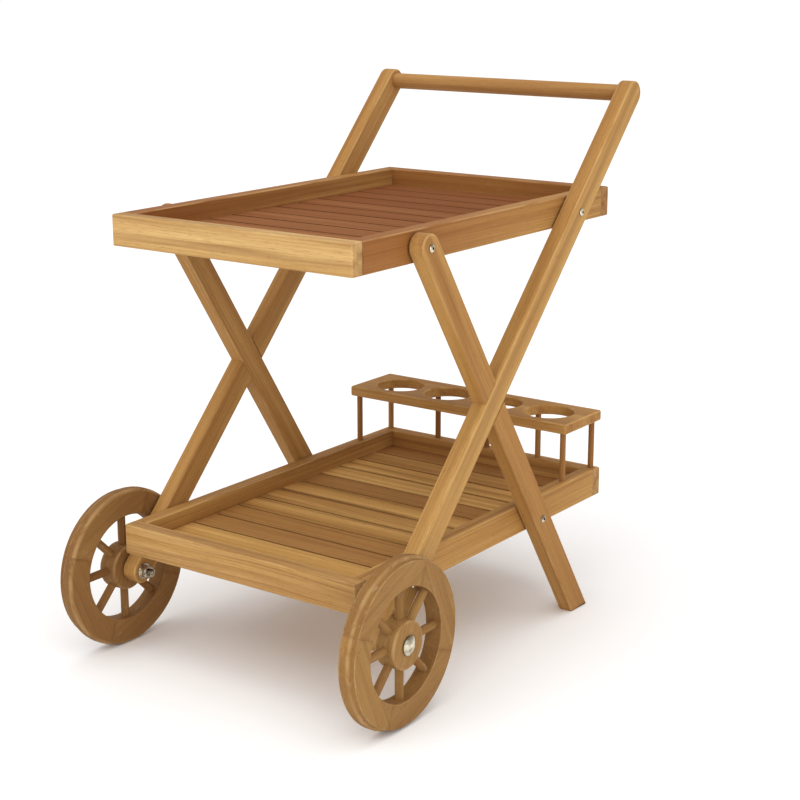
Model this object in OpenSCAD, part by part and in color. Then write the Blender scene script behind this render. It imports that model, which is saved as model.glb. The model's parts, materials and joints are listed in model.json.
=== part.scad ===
// Teak serving trolley: two slatted trays between two half-lapped pairs of
// crossed legs, a push handle, a bottle rack and two spoked wheels.
// +X runs from the wheels to the handle, +Y across the trolley and +Z up.
// "left" is the -Y side and "right" is the +Y side. The origin lies on the
// floor, under the middle of the whole trolley.

/* [Trays] */
// Length of a tray over its front and back rails
tray_l = 700; // [560:10:860]
// Width of a tray over its side rails
tray_w = 450; // [360:10:560]
// Height of the rails of a tray
rail_h = 48; // [38:1:60]
// Thickness of the rails of a tray
rail_t = 24; // [20:1:30]
// Height of the upper tray's rim above the floor
upper_rim_z = 704; // [600:1:850]
// Height of the lower tray's rim above the floor
lower_rim_z = 218; // [200:1:262]

/* [Tray floors] */
// Number of slats in each tray
slat_count = 12; // [9:1:12]
// Gap between two slats
slat_gap = 5; // [3:0.5:8]
// Thickness of a slat
slat_t = 12; // [8:0.5:15]
// Width of the ledger that carries the slat ends
ledger_w = 20; // [14:1:30]
// Height of the ledger
ledger_h = 8; // [6:0.5:12]

/* [Legs] */
// Width of a leg, seen from the side
leg_w = 41; // [34:1:50]
// Thickness of a leg, across the trolley
leg_t = 26; // [20:1:32]
// Distance of the wheel axle behind the front edge of the trays
axle_setback = 40; // [25:1:60]
// Distance of a short leg's top screw behind the front edge of the trays
short_top_setback = 145; // [110:1:180]
// Distance of the middle of a foot ahead of the back edge of the trays
foot_inset = 109; // [60:1:180]

/* [Handle] */
// Height of the middle of the handle above the upper tray's rim
handle_rise = 151; // [90:1:300]
// Distance of the handle beyond the back edge of the trays
handle_reach = 27; // [10:1:60]
// Diameter of the handle
handle_d = 27; // [22:0.5:32]
// Depth of the handle's sockets in the long legs
handle_socket = 12; // [8:1:16]

/* [Bottle rack] */
// Thickness of the plank
plank_t = 18; // [15:1:24]
// Height of the plank's top above the lower tray's rim
plank_rise = 102; // [80:1:130]
// Diameter of a bottle hole
bottle_d = 86; // [60:1:105]
// Width of the wood left before and behind a bottle hole
bottle_margin = 17; // [14:1:30]
// Width of the wood left between the rims of two bottle holes
bottle_web = 11; // [6:0.5:16]
// Radius of the rounded upper rim of a bottle hole
bottle_rim = 3.5; // [1:0.5:5]
// Diameter of a rack post
post_d = 10; // [8:0.5:14]
// Depth of a post's sockets in the rails and in the plank
post_socket = 11; // [8:1:14]
// Distance of a front post behind the plank's front edge
front_post_inset = 12; // [9:1:18]

/* [Wheels] */
// Radius of a wheel
wheel_r = 128; // [105:1:155]
// Width of the rim, from its inner edge out to the tread
rim_w = 42; // [34:1:50]
// Thickness of the rim
rim_t = 28; // [21:1:34]
// Width of the tread, up to the step beside the outer face
tread_w = 20; // [14:1:24]
// Height of the step between the tread and the outer face
tread_step = 4.5; // [2:0.5:9]
// Radius of the tread's rounded edges
tread_round = 6; // [2:0.5:8]
// Radius of the hub
hub_r = 37; // [30:1:44]
// Height of the hub over the rim on each face
hub_proud = 2.5; // [2:0.5:6]
// Radius of the hub's rounded edges
hub_round = 4; // [1:0.5:6]
// Diameter of a spoke
spoke_d = 13; // [9:0.5:16]
// Number of spokes in a wheel
spoke_count = 8; // [4:4:8]
// Depth of a spoke's sockets in the hub and in the rim
spoke_socket = 12; // [6:1:16]

/* [Hardware] */
// Diameter of an axle bolt
axle_d = 12; // [10:0.5:14]
// Diameter of an axle bolt's domed head
axle_head_d = 30; // [24:0.5:36]
// Height of the domed head
axle_head_h = 6.5; // [4:0.5:9]
// Width across the flats of an axle nut
axle_nut_af = 19; // [17:0.5:24]
// Height of an axle nut
axle_nut_h = 10; // [7:0.5:12]
// Length of bolt that stands out past its nut
axle_tail = 8; // [2:0.5:12]
// Diameter of an axle washer
axle_washer_d = 26; // [22:0.5:30]
// Thickness of an axle washer
axle_washer_t = 2.5; // [1.5:0.1:3]
// Diameter of a leg screw
screw_d = 6; // [5:0.5:8]
// Diameter of a leg screw's head
screw_head_d = 12.5; // [11:0.5:16]
// Height of a leg screw's head
screw_head_h = 3.5; // [2.5:0.5:5]
// Width across the flats of a leg screw's socket
screw_key_af = 4; // [3:0.5:5]
// Depth of a leg screw's bite in a rail
screw_bite = 18; // [12:1:19]
// Diameter of the spacer washer between a leg and a tray
spacer_d = 20; // [16:0.5:26]
// Thickness of the spacer washer
spacer_t = 3; // [2:0.5:6]

/* [Clearances] */
// Radial running clearance between an axle bolt and its hub
axle_run = 0.05; // [0.02:0.01:0.1]
// End play on each side of a hub
hub_play = 0.3; // [0.3:0.1:1]
// Radial clearance of bolts and screws in the legs and washers
bolt_gap = 0.2; // [0.1:0.05:0.5]

/* [Hidden] */
function numbered(base, i) = str(base, "_", i < 10 ? "0" : "", i);
function slat_names(tray) = [for (i = [1 : slat_count]) numbered(str(tray, "_slat"), i)];
function felloe_names(side) = [for (i = [1 : felloe_count]) numbered(str("wheel_", side, "_felloe"), i)];
felloe_count = 4;
$fn = 96;

LEFT = -1;
RIGHT = 1;
TEAK = "#c08f52";
DARK_TEAK = "#a3683f";
WHEEL_TEAK = "#b5844a";
STEEL = "#c9c6bd";

// Sizes that follow from others.
plank_l = bottle_d + 2 * bottle_margin;
bottle_pitch = bottle_d + 2 * bottle_rim + bottle_web;
rim_inner_r = wheel_r - rim_w;
hub_t = rim_t + 2 * hub_proud;
slat_drop = rail_h - ledger_h - slat_t;
slat_w = (tray_l - 2 * rail_t - (slat_count - 1) * slat_gap) / slat_count;
spoke_turn = 360 / spoke_count;
felloe_turn = 360 / felloe_count;

// The plank takes as many bottle holes as its width allows, with a back post
// beside each web and at both ends.
bottle_count = floor(tray_w / bottle_pitch);
back_post_count = bottle_count + 1;

// Places along the trolley, all measured from the origin.
front_x = -(axle_setback - wheel_r + tray_l + handle_reach + leg_w / 2) / 2;
back_x = front_x + tray_l;
axle = [front_x + axle_setback, wheel_r];
grip = [back_x + handle_reach, upper_rim_z + handle_rise];
short_top = [front_x + short_top_setback, upper_rim_z - rail_h / 2];
foot = [back_x - foot_inset, 0];
plank_x = back_x - plank_l;
plank_z = lower_rim_z + plank_rise;

// Places across the trolley, on the +Y side.
rail_y = tray_w / 2 - rail_t / 2;
leg_in_y = tray_w / 2 + spacer_t;
leg_out_y = leg_in_y + leg_t;
lap_y = leg_in_y + leg_t / 2;
hub_in_y = leg_out_y + axle_washer_t + hub_play;
hub_out_y = hub_in_y + hub_t;
rim_in_y = (hub_in_y + hub_out_y - rim_t) / 2;
head_y = hub_out_y + hub_play;

// Where the middle line through the points a and b passes the height z.
function on_line(a, b, z) = [a[0] + (b[0] - a[0]) * (z - a[1]) / (b[1] - a[1]), z];
long_screws = [for (rim = [upper_rim_z, lower_rim_z]) on_line(axle, grip, rim - rail_h / 2)];
short_screws = [short_top, on_line(foot, short_top, lower_rim_z - rail_h / 2)];
leg_screw_points = concat(long_screws, short_screws);
back_posts = [for (i = [0 : back_post_count - 1])
    [back_x - rail_t / 2, -rail_y + 2 * rail_y * i / (back_post_count - 1)]];
front_posts = [for (side = [LEFT, RIGHT]) [plank_x + front_post_inset, side * rail_y]];

// Puts a profile drawn in X and Z between y0 and y1 on one side.
module across(side, y0, y1) {
    translate([0, side > 0 ? y1 : -y0, 0])
        rotate([90, 0, 0])
            linear_extrude(y1 - y0) children();
}

// A round bar or hole along Y on one side, between y0 and y1.
module rod_y(side, point, d, y0, y1) {
    translate([point[0], side > 0 ? y1 : -y0, point[1]])
        rotate([90, 0, 0])
            cylinder(d = d, h = y1 - y0);
}

// A straight strip of the leg's width from a to b, with square ends.
module strip(a, b) {
    run = b - a;
    n = [-run[1], run[0]] / norm(run) * leg_w / 2;
    polygon([a - n, b - n, b + n, a + n]);
}

module round_end(point) {
    translate(point) circle(d = leg_w);
}

module long_leg_profile() {
    strip(axle, grip);
    round_end(axle);
    round_end(grip);
}

module short_leg_profile() {
    below = foot + (foot - short_top) / norm(foot - short_top) * leg_w;
    difference() {
        union() {
            strip(below, short_top);
            round_end(short_top);
        }
        translate([foot[0] - 2 * leg_w, -2 * leg_w]) square([4 * leg_w, 2 * leg_w]);
    }
}

module leg_screw_holes(side, points) {
    for (p = points) rod_y(side, p, screw_d + 2 * bolt_gap, leg_in_y - 1, leg_out_y + 1);
}

module long_leg(side) {
    color(TEAK) difference() {
        across(side, leg_in_y, leg_out_y) long_leg_profile();
        across(side, leg_in_y - 1, lap_y) short_leg_profile();
        leg_screw_holes(side, long_screws);
        rod_y(side, axle, axle_d + 2 * bolt_gap, leg_in_y - 1, leg_out_y + 1);
        rod_y(side, grip, handle_d, leg_in_y - 1, leg_in_y + handle_socket);
    }
}

module short_leg(side) {
    color(TEAK) difference() {
        across(side, leg_in_y, leg_out_y) short_leg_profile();
        across(side, lap_y, leg_out_y + 1) long_leg_profile();
        leg_screw_holes(side, short_screws);
    }
}

module handle_bar() {
    reach = leg_in_y + handle_socket;
    color(TEAK) rod_y(RIGHT, grip, handle_d, -reach, reach);
}

module post_sockets(points, z) {
    for (p = points) translate([p[0], p[1], z]) cylinder(d = post_d, h = 2 * post_socket, center = true);
}

module cross_rail(x, rim_z, posts) {
    color(TEAK) difference() {
        translate([x, -tray_w / 2, rim_z - rail_h]) cube([rail_t, tray_w, rail_h]);
        post_sockets(posts, rim_z);
    }
}

module side_rail(side, rim_z, posts) {
    color(TEAK) difference() {
        translate([front_x + rail_t, side * rail_y - rail_t / 2, rim_z - rail_h])
            cube([tray_l - 2 * rail_t, rail_t, rail_h]);
        for (p = leg_screw_points)
            if (abs(p[1] - rim_z) < rail_h) rod_y(side, p, screw_d, tray_w / 2 - screw_bite, tray_w / 2 + 1);
        post_sockets(posts, rim_z);
    }
}

module ledger(side, rim_z) {
    inner = tray_w / 2 - rail_t - ledger_w / 2;
    color(TEAK) translate([front_x + rail_t, side * inner - ledger_w / 2, rim_z - rail_h])
        cube([tray_l - 2 * rail_t, ledger_w, ledger_h]);
}

module slat(i, rim_z, tint) {
    color(tint)
        translate([front_x + rail_t + (i - 1) * (slat_w + slat_gap), rail_t - tray_w / 2, rim_z - slat_drop - slat_t])
            cube([slat_w, tray_w - 2 * rail_t, slat_t]);
}

// A bottle hole with a rounded upper rim.
module bottle_hole() {
    r = bottle_d / 2;
    translate([0, 0, -plank_t - 1]) cylinder(r = r, h = plank_t + 2);
    rotate_extrude() difference() {
        translate([r - 1, -bottle_rim]) square([bottle_rim + 1, bottle_rim + 1]);
        translate([r + bottle_rim, -bottle_rim]) circle(r = bottle_rim);
    }
}

module rack_plank() {
    color(TEAK) difference() {
        translate([plank_x, -tray_w / 2, plank_z - plank_t]) cube([plank_l, tray_w, plank_t]);
        for (i = [0 : bottle_count - 1])
            translate([plank_x + plank_l / 2, bottle_pitch * (i - (bottle_count - 1) / 2), plank_z]) bottle_hole();
        post_sockets(concat(back_posts, front_posts), plank_z - plank_t);
    }
}

module rack_posts() {
    bottom = lower_rim_z - post_socket;
    top = plank_z - plank_t + post_socket;
    color(TEAK) for (p = concat(back_posts, front_posts))
        translate([p[0], p[1], bottom]) cylinder(d = post_d, h = top - bottom);
}

// Turns a wheel's own frame, with the axis along Z and z = 0 at the hub's
// inner face, on to the axle of one side.
module on_axle(side) {
    translate([axle[0], side * hub_in_y, axle[1]])
        rotate([side > 0 ? -90 : 90, 0, 0])
            children();
}

module spoke_rods(r0, r1) {
    translate([0, 0, hub_t / 2])
        for (k = [0 : spoke_count - 1])
            rotate([0, 90, k * spoke_turn]) translate([0, 0, r0]) cylinder(d = spoke_d, h = r1 - r0);
}

// Section of the rim: a tread with rounded edges and a step down beside the
// outer face.
module rim_section() {
    step_r = wheel_r - tread_step;
    difference() {
        union() {
            translate([rim_inner_r, 0]) square([wheel_r - tread_round - rim_inner_r, tread_w]);
            translate([rim_inner_r, 0]) square([step_r - rim_inner_r, rim_t]);
            translate([step_r - tread_round, tread_round])
                square([tread_step + tread_round, tread_w - 2 * tread_round]);
            for (h = [tread_round, tread_w - tread_round])
                translate([wheel_r - tread_round, h]) circle(r = tread_round);
        }
        translate([rim_inner_r - 1, -1]) square([1, rim_t + 2]);
    }
}

module felloe(side, i) {
    start = (i - 1) * felloe_turn - spoke_turn / 2;
    color(WHEEL_TEAK) on_axle(side) difference() {
        translate([0, 0, (hub_t - rim_t) / 2])
            rotate([0, 0, start])
                rotate_extrude(angle = felloe_turn) rim_section();
        spoke_rods(rim_inner_r - 1, rim_inner_r + spoke_socket);
    }
}

module hub(side) {
    color(WHEEL_TEAK) on_axle(side) difference() {
        rotate_extrude() difference() {
            union() {
                square([hub_r - hub_round, hub_t]);
                translate([0, hub_round]) square([hub_r, hub_t - 2 * hub_round]);
                for (h = [hub_round, hub_t - hub_round])
                    translate([hub_r - hub_round, h]) circle(r = hub_round);
            }
            translate([0, -1]) square([axle_d / 2 + axle_run, hub_t + 2]);
        }
        spoke_rods(hub_r - spoke_socket, hub_r + 1);
    }
}

module spokes(side) {
    color(WHEEL_TEAK) on_axle(side)
        spoke_rods(hub_r - spoke_socket, rim_inner_r + spoke_socket);
}

// A low dome on a short rim, of diameter d and height h.
module dome(d, h) {
    edge = h / 4;
    rise = h - edge;
    r = (d * d / 4 + rise * rise) / (2 * rise);
    cylinder(d = d, h = edge);
    translate([0, 0, edge]) intersection() {
        translate([0, 0, rise - r]) sphere(r = r);
        cylinder(d = d, h = rise);
    }
}

// Puts a head, drawn along +Z, on the outside of one side at height y.
module head_on(side, point, y) {
    translate([point[0], side * y, point[1]])
        rotate([side > 0 ? -90 : 90, 0, 0])
            children();
}

module axle_bolts() {
    tail_y = leg_in_y - axle_washer_t - axle_nut_h - axle_tail;
    color(STEEL) for (side = [LEFT, RIGHT]) {
        rod_y(side, axle, axle_d, tail_y, head_y);
        head_on(side, axle, head_y) dome(axle_head_d, axle_head_h);
    }
}

module axle_washers() {
    color(STEEL) for (side = [LEFT, RIGHT], y = [leg_in_y - axle_washer_t, leg_out_y]) difference() {
        rod_y(side, axle, axle_washer_d, y, y + axle_washer_t);
        rod_y(side, axle, axle_d + 2 * bolt_gap, y - 1, y + axle_washer_t + 1);
    }
}

module axle_nuts() {
    nut_y = leg_in_y - axle_washer_t - axle_nut_h;
    color(STEEL) for (side = [LEFT, RIGHT]) difference() {
        rod_y(side, axle, axle_nut_af / cos(30), nut_y, nut_y + axle_nut_h, $fn = 6);
        rod_y(side, axle, axle_d, nut_y - 1, nut_y + axle_nut_h + 1);
    }
}

module leg_screws() {
    color(STEEL) for (side = [LEFT, RIGHT], p = leg_screw_points) {
        rod_y(side, p, screw_d, tray_w / 2 - screw_bite, leg_out_y);
        head_on(side, p, leg_out_y) difference() {
            dome(screw_head_d, screw_head_h);
            translate([0, 0, screw_head_h / 3]) cylinder(d = screw_key_af / cos(30), h = screw_head_h, $fn = 6);
        }
    }
}

module leg_spacers() {
    color(STEEL) for (side = [LEFT, RIGHT], p = leg_screw_points) difference() {
        rod_y(side, p, spacer_d, tray_w / 2, leg_in_y);
        rod_y(side, p, screw_d + 2 * bolt_gap, tray_w / 2 - 1, leg_in_y + 1);
    }
}

long_leg(LEFT);  // long_leg_left
long_leg(RIGHT);  // long_leg_right
short_leg(LEFT);  // short_leg_left
short_leg(RIGHT);  // short_leg_right
handle_bar();

cross_rail(front_x, upper_rim_z, []);  // upper_front_rail
cross_rail(back_x - rail_t, upper_rim_z, []);  // upper_back_rail
side_rail(LEFT, upper_rim_z, []);  // upper_left_rail
side_rail(RIGHT, upper_rim_z, []);  // upper_right_rail
ledger(LEFT, upper_rim_z);  // upper_left_ledger
ledger(RIGHT, upper_rim_z);  // upper_right_ledger
for (i = [1 : slat_count])
    slat(i, upper_rim_z, DARK_TEAK);

cross_rail(front_x, lower_rim_z, []);  // lower_front_rail
cross_rail(back_x - rail_t, lower_rim_z, back_posts);  // lower_back_rail
side_rail(LEFT, lower_rim_z, front_posts);  // lower_left_rail
side_rail(RIGHT, lower_rim_z, front_posts);  // lower_right_rail
ledger(LEFT, lower_rim_z);  // lower_left_ledger
ledger(RIGHT, lower_rim_z);  // lower_right_ledger
for (i = [1 : slat_count])
    slat(i, lower_rim_z, TEAK);

rack_plank();
rack_posts();

hub(LEFT);  // wheel_left_hub
spokes(LEFT);  // wheel_left_spokes
for (i = [1 : felloe_count])
    felloe(LEFT, i);
hub(RIGHT);  // wheel_right_hub
spokes(RIGHT);  // wheel_right_spokes
for (i = [1 : felloe_count])
    felloe(RIGHT, i);

axle_bolts();
axle_washers();
axle_nuts();
leg_screws();
leg_spacers();
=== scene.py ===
"""Visual model of a teak serving trolley: two slatted trays, crossed legs, a bottle rack and two spoked wheels.

Lengths are in metres. +X runs from the wheels to the handle, +Y across the trolley and +Z up. Every piece is built
in place around the CAD nodes it stands for.
"""

import json
import logging
import math
from collections.abc import Callable, Iterable, Sequence
from dataclasses import dataclass, field
from enum import Enum

import bmesh
import bpy
from mathutils import Euler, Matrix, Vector
from mathutils.kdtree import KDTree

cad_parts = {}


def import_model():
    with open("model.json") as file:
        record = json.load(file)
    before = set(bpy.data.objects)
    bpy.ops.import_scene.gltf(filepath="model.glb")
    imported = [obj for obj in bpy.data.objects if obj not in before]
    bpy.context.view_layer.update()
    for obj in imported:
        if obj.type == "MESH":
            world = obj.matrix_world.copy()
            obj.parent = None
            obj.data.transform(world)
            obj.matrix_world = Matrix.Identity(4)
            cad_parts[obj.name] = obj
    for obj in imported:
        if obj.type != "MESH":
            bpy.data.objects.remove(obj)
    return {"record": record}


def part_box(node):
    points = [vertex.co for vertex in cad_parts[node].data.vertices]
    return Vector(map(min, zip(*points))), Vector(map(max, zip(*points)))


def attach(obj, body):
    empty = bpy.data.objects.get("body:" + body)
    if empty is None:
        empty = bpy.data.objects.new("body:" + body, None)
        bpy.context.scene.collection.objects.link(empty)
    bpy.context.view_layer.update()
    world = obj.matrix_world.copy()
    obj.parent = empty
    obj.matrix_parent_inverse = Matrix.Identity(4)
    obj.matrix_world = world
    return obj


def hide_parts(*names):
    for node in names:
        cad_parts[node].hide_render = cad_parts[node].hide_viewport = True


logging.basicConfig(level=logging.INFO, format="%(name)s: %(message)s")
LOG = logging.getLogger("serving_trolley")
MM = 0.001
WELD = 0.01 * MM
SAME_POINT = 0.05 * MM

Colour = tuple[float, float, float, float]
Ring = list[Vector]
Outline = list[tuple[float, float, float]]
GrainRow = tuple[tuple[float, float, float], float, float, float, float]


class Side(Enum):
    """A side of the trolley, with its direction along Y."""

    LEFT = -1
    RIGHT = 1

    @property
    def word(self) -> str:
        """The side's name as the CAD nodes spell it."""
        return self.name.lower()


class Axis(Enum):
    """The axis that a board's grain runs along, with the two axes of its section."""

    X = (0, 1, 2)
    Y = (1, 2, 0)
    Z = (2, 0, 1)


# ---------------------------------------------------------------------------------------------------------------
# Node trees
# ---------------------------------------------------------------------------------------------------------------


def add_node(
    tree: bpy.types.NodeTree, kind: str, inputs: dict[int | str, object] | None = None, **settings: object
) -> bpy.types.Node:
    """Adds a node to a tree and wires it.

    Args:
        tree: The tree that gets the node.
        kind: Blender's name for the node type.
        inputs: Input sockets by place or name, each with a socket to link or a value to set.
        **settings: Properties of the node.

    Returns:
        The new node.
    """
    node = tree.nodes.new(kind)
    for name, value in settings.items():
        setattr(node, name, value)
    for key, value in (inputs or {}).items():
        target = node.inputs[key]
        if isinstance(value, bpy.types.NodeSocket):
            tree.links.new(value, target)
        else:
            target.default_value = value
    return node


def math_of(tree: bpy.types.NodeTree, operation: str, *values: object, clamp: bool = False) -> bpy.types.NodeSocket:
    """Adds a Math node over one to three values or sockets and returns its result."""
    node = add_node(tree, "ShaderNodeMath", dict(enumerate(values)), operation=operation, use_clamp=clamp)
    return node.outputs[0]


def vector_of(tree: bpy.types.NodeTree, operation: str, *values: object) -> bpy.types.NodeSocket:
    """Adds a Vector Math node and returns its vector result."""
    node = add_node(tree, "ShaderNodeVectorMath", dict(enumerate(values)), operation=operation)
    return node.outputs["Value" if operation in {"LENGTH", "DOT_PRODUCT"} else "Vector"]


def blend_of(
    tree: bpy.types.NodeTree, share: object, first: object, second: object, blend: str = "MIX"
) -> bpy.types.NodeSocket:
    """Adds a colour Mix node and returns the mixed colour.

    Args:
        tree: The tree that gets the node.
        share: How much of the second colour shows, from 0 to 1.
        first: The colour at 0.
        second: The colour at 1.
        blend: Blender's name for the way of mixing.

    Returns:
        The colour socket.
    """
    node = add_node(
        tree, "ShaderNodeMix", {0: share, 6: first, 7: second}, data_type="RGBA", blend_type=blend, clamp_factor=True
    )
    return node.outputs[2]


def remap_of(
    tree: bpy.types.NodeTree, value: object, low: float, high: float, to: float = 1.0
) -> bpy.types.NodeSocket:
    """Stretches the range from low to high over 0 to a new top, clamped, and returns the result."""
    node = add_node(tree, "ShaderNodeMapRange", {0: value, 1: low, 2: high, 3: 0.0, 4: to}, clamp=True)
    return node.outputs[0]


def noise_of(
    tree: bpy.types.NodeTree, vector: object, scale: float, detail: float = 2.0, roughness: float = 0.5
) -> bpy.types.NodeSocket:
    """Adds a noise texture over a vector and returns its value."""
    node = add_node(
        tree,
        "ShaderNodeTexNoise",
        {"Vector": vector, "Scale": scale, "Detail": detail, "Roughness": roughness},
        noise_dimensions="3D",
    )
    return node.outputs[0]


def attribute_of(tree: bpy.types.NodeTree, name: str, output: str) -> bpy.types.NodeSocket:
    """Reads a mesh attribute in a material."""
    return add_node(tree, "ShaderNodeAttribute", attribute_name=name).outputs[output]


def new_group(
    kind: str, name: str, inputs: Sequence[tuple[str, str, object]], outputs: Sequence[tuple[str, str]]
) -> tuple[bpy.types.NodeTree, bpy.types.Node, bpy.types.Node]:
    """Makes an empty node group with named sockets.

    Args:
        kind: ShaderNodeTree or GeometryNodeTree.
        name: The group's name.
        inputs: Name, socket type and default value of each input.
        outputs: Name and socket type of each output.

    Returns:
        The tree, its Group Input node and its Group Output node.
    """
    tree = bpy.data.node_groups.new(name, kind)
    for label, socket_type, default in inputs:
        item = tree.interface.new_socket(label, in_out="INPUT", socket_type=socket_type)
        if default is not None:
            item.default_value = default
    for label, socket_type in outputs:
        tree.interface.new_socket(label, in_out="OUTPUT", socket_type=socket_type)
    return tree, tree.nodes.new("NodeGroupInput"), tree.nodes.new("NodeGroupOutput")


# ---------------------------------------------------------------------------------------------------------------
# Finishes
# ---------------------------------------------------------------------------------------------------------------


class Effects:
    """The shader groups that several finishes share, each built once."""

    FLOAT = "NodeSocketFloat"
    VECTOR = "NodeSocketVector"

    def __init__(self) -> None:
        """Builds every group."""
        self.figure = self._teak_figure()
        self.wear = self._edge_wear()
        self.scuffs = self._scuffs()

    def _teak_figure(self) -> bpy.types.NodeTree:
        """Growth rings, streaks, patches and pores of sawn teak, around a pith that lies beside each board."""
        tree, given, out = new_group(
            "ShaderNodeTree",
            "Teak figure",
            [
                ("Position", self.VECTOR, None),
                ("Board", self.FLOAT, 0.0),
                ("Ring Spacing", self.FLOAT, 0.0045),
                ("Wander", self.FLOAT, 0.012),
            ],
            [(n, self.FLOAT) for n in ("Rings", "Bands", "Flames", "Streaks", "Patches", "Pores", "Height")],
        )
        dice = add_node(tree, "ShaderNodeTexWhiteNoise", {"W": given.outputs["Board"]}, noise_dimensions="1D")
        shift = vector_of(tree, "MULTIPLY", dice.outputs["Color"], (9.0, 0.12, 0.05))
        shift = vector_of(tree, "ADD", shift, (0.0, 0.045, 0.018))
        place = vector_of(tree, "ADD", given.outputs["Position"], shift)
        bent = noise_of(tree, vector_of(tree, "MULTIPLY", place, (2.2, 9.0, 9.0)), 1.0, 1.0)
        bent = math_of(tree, "MULTIPLY", math_of(tree, "SUBTRACT", bent, 0.5), given.outputs["Wander"])
        ripple = noise_of(tree, vector_of(tree, "MULTIPLY", place, (9.0, 60.0, 60.0)), 1.0, 1.0)
        ripple = math_of(tree, "MULTIPLY", math_of(tree, "SUBTRACT", ripple, 0.5), 0.0022)
        reach = vector_of(tree, "LENGTH", vector_of(tree, "MULTIPLY", place, (0.0, 1.0, 1.0)))
        reach = math_of(tree, "ADD", reach, math_of(tree, "ADD", bent, ripple))
        phase = math_of(tree, "DIVIDE", reach, given.outputs["Ring Spacing"])
        year = add_node(tree, "ShaderNodeTexWhiteNoise", {"W": math_of(tree, "FLOOR", phase)}, noise_dimensions="1D")
        late = math_of(tree, "FRACT", phase)
        rise = remap_of(tree, late, 0.40, 0.94)
        fall = remap_of(tree, late, 1.0, 0.95)
        rings = math_of(tree, "MULTIPLY", math_of(tree, "POWER", rise, 2.2), fall)
        rings = math_of(tree, "MULTIPLY", rings, remap_of(tree, year.outputs["Value"], -0.5, 1.0))
        bold = noise_of(tree, vector_of(tree, "MULTIPLY", place, (1.7, 26.0, 26.0)), 1.0, 1.0)
        rings = math_of(tree, "MULTIPLY", rings, math_of(tree, "ADD", remap_of(tree, bold, 0.36, 0.66, 0.75), 0.25))
        bands = noise_of(tree, vector_of(tree, "MULTIPLY", place, (1.3, 22.0, 24.0)), 1.0, 2.0, 0.4)
        swept = vector_of(tree, "ADD", place, add_node(tree, "ShaderNodeCombineXYZ", {1: bent}).outputs[0])
        flames = noise_of(tree, vector_of(tree, "MULTIPLY", swept, (1.2, 75.0, 75.0)), 1.0, 3.0, 0.62)
        streaks = noise_of(tree, vector_of(tree, "MULTIPLY", place, (5.0, 330.0, 330.0)), 1.0, 3.0, 0.6)
        patches = noise_of(tree, vector_of(tree, "MULTIPLY", place, (1.6, 34.0, 34.0)), 1.0, 2.0)
        pores = noise_of(tree, vector_of(tree, "MULTIPLY", place, (55.0, 1500.0, 1500.0)), 1.0, 1.0)
        pores = remap_of(tree, pores, 0.60, 0.70)
        height = math_of(tree, "MULTIPLY", streaks, 0.6)
        height = math_of(tree, "SUBTRACT", height, math_of(tree, "MULTIPLY", pores, 0.7))
        height = math_of(tree, "SUBTRACT", height, math_of(tree, "MULTIPLY", rings, 0.3))
        results = {
            "Rings": rings,
            "Bands": remap_of(tree, bands, 0.38, 0.60),
            "Flames": remap_of(tree, flames, 0.46, 0.66),
            "Streaks": remap_of(tree, streaks, 0.32, 0.68),
            "Patches": remap_of(tree, patches, 0.33, 0.67),
            "Pores": pores,
            "Height": height,
        }
        for name, result in results.items():
            tree.links.new(result, out.inputs[name])
        return tree

    def _edge_wear(self) -> bpy.types.NodeTree:
        """A broken mask along the rounded edges, where handling has polished the wood."""
        tree, given, out = new_group(
            "ShaderNodeTree",
            "Edge wear",
            [("Edge", self.FLOAT, 0.0), ("Position", self.VECTOR, None), ("Amount", self.FLOAT, 0.5)],
            [("Mask", self.FLOAT)],
        )
        broken = noise_of(tree, vector_of(tree, "MULTIPLY", given.outputs["Position"], (14.0, 60.0, 60.0)), 1.0, 3.0)
        mask = math_of(tree, "MULTIPLY", given.outputs["Edge"], remap_of(tree, broken, 0.35, 0.6))
        mask = math_of(tree, "MULTIPLY", mask, given.outputs["Amount"], clamp=True)
        tree.links.new(mask, out.inputs["Mask"])
        return tree

    def _scuffs(self) -> bpy.types.NodeTree:
        """Small dents and dark specks, as sawn teak has where resin or a knot shows."""
        tree, given, out = new_group(
            "ShaderNodeTree",
            "Scuffs and specks",
            [("Position", self.VECTOR, None), ("Board", self.FLOAT, 0.0), ("Amount", self.FLOAT, 0.5)],
            [("Specks", self.FLOAT), ("Scuffs", self.FLOAT)],
        )
        moved = vector_of(tree, "ADD", given.outputs["Position"], given.outputs["Board"])
        specks = noise_of(tree, vector_of(tree, "MULTIPLY", moved, (95.0, 270.0, 270.0)), 1.0, 3.0, 0.6)
        specks = math_of(tree, "MULTIPLY", remap_of(tree, specks, 0.63, 0.76), given.outputs["Amount"])
        scuffs = noise_of(tree, vector_of(tree, "MULTIPLY", moved, (45.0, 110.0, 110.0)), 1.0, 4.0, 0.7)
        scuffs = math_of(tree, "MULTIPLY", remap_of(tree, scuffs, 0.62, 0.74), given.outputs["Amount"])
        tree.links.new(specks, out.inputs["Specks"])
        tree.links.new(scuffs, out.inputs["Scuffs"])
        return tree


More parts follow.
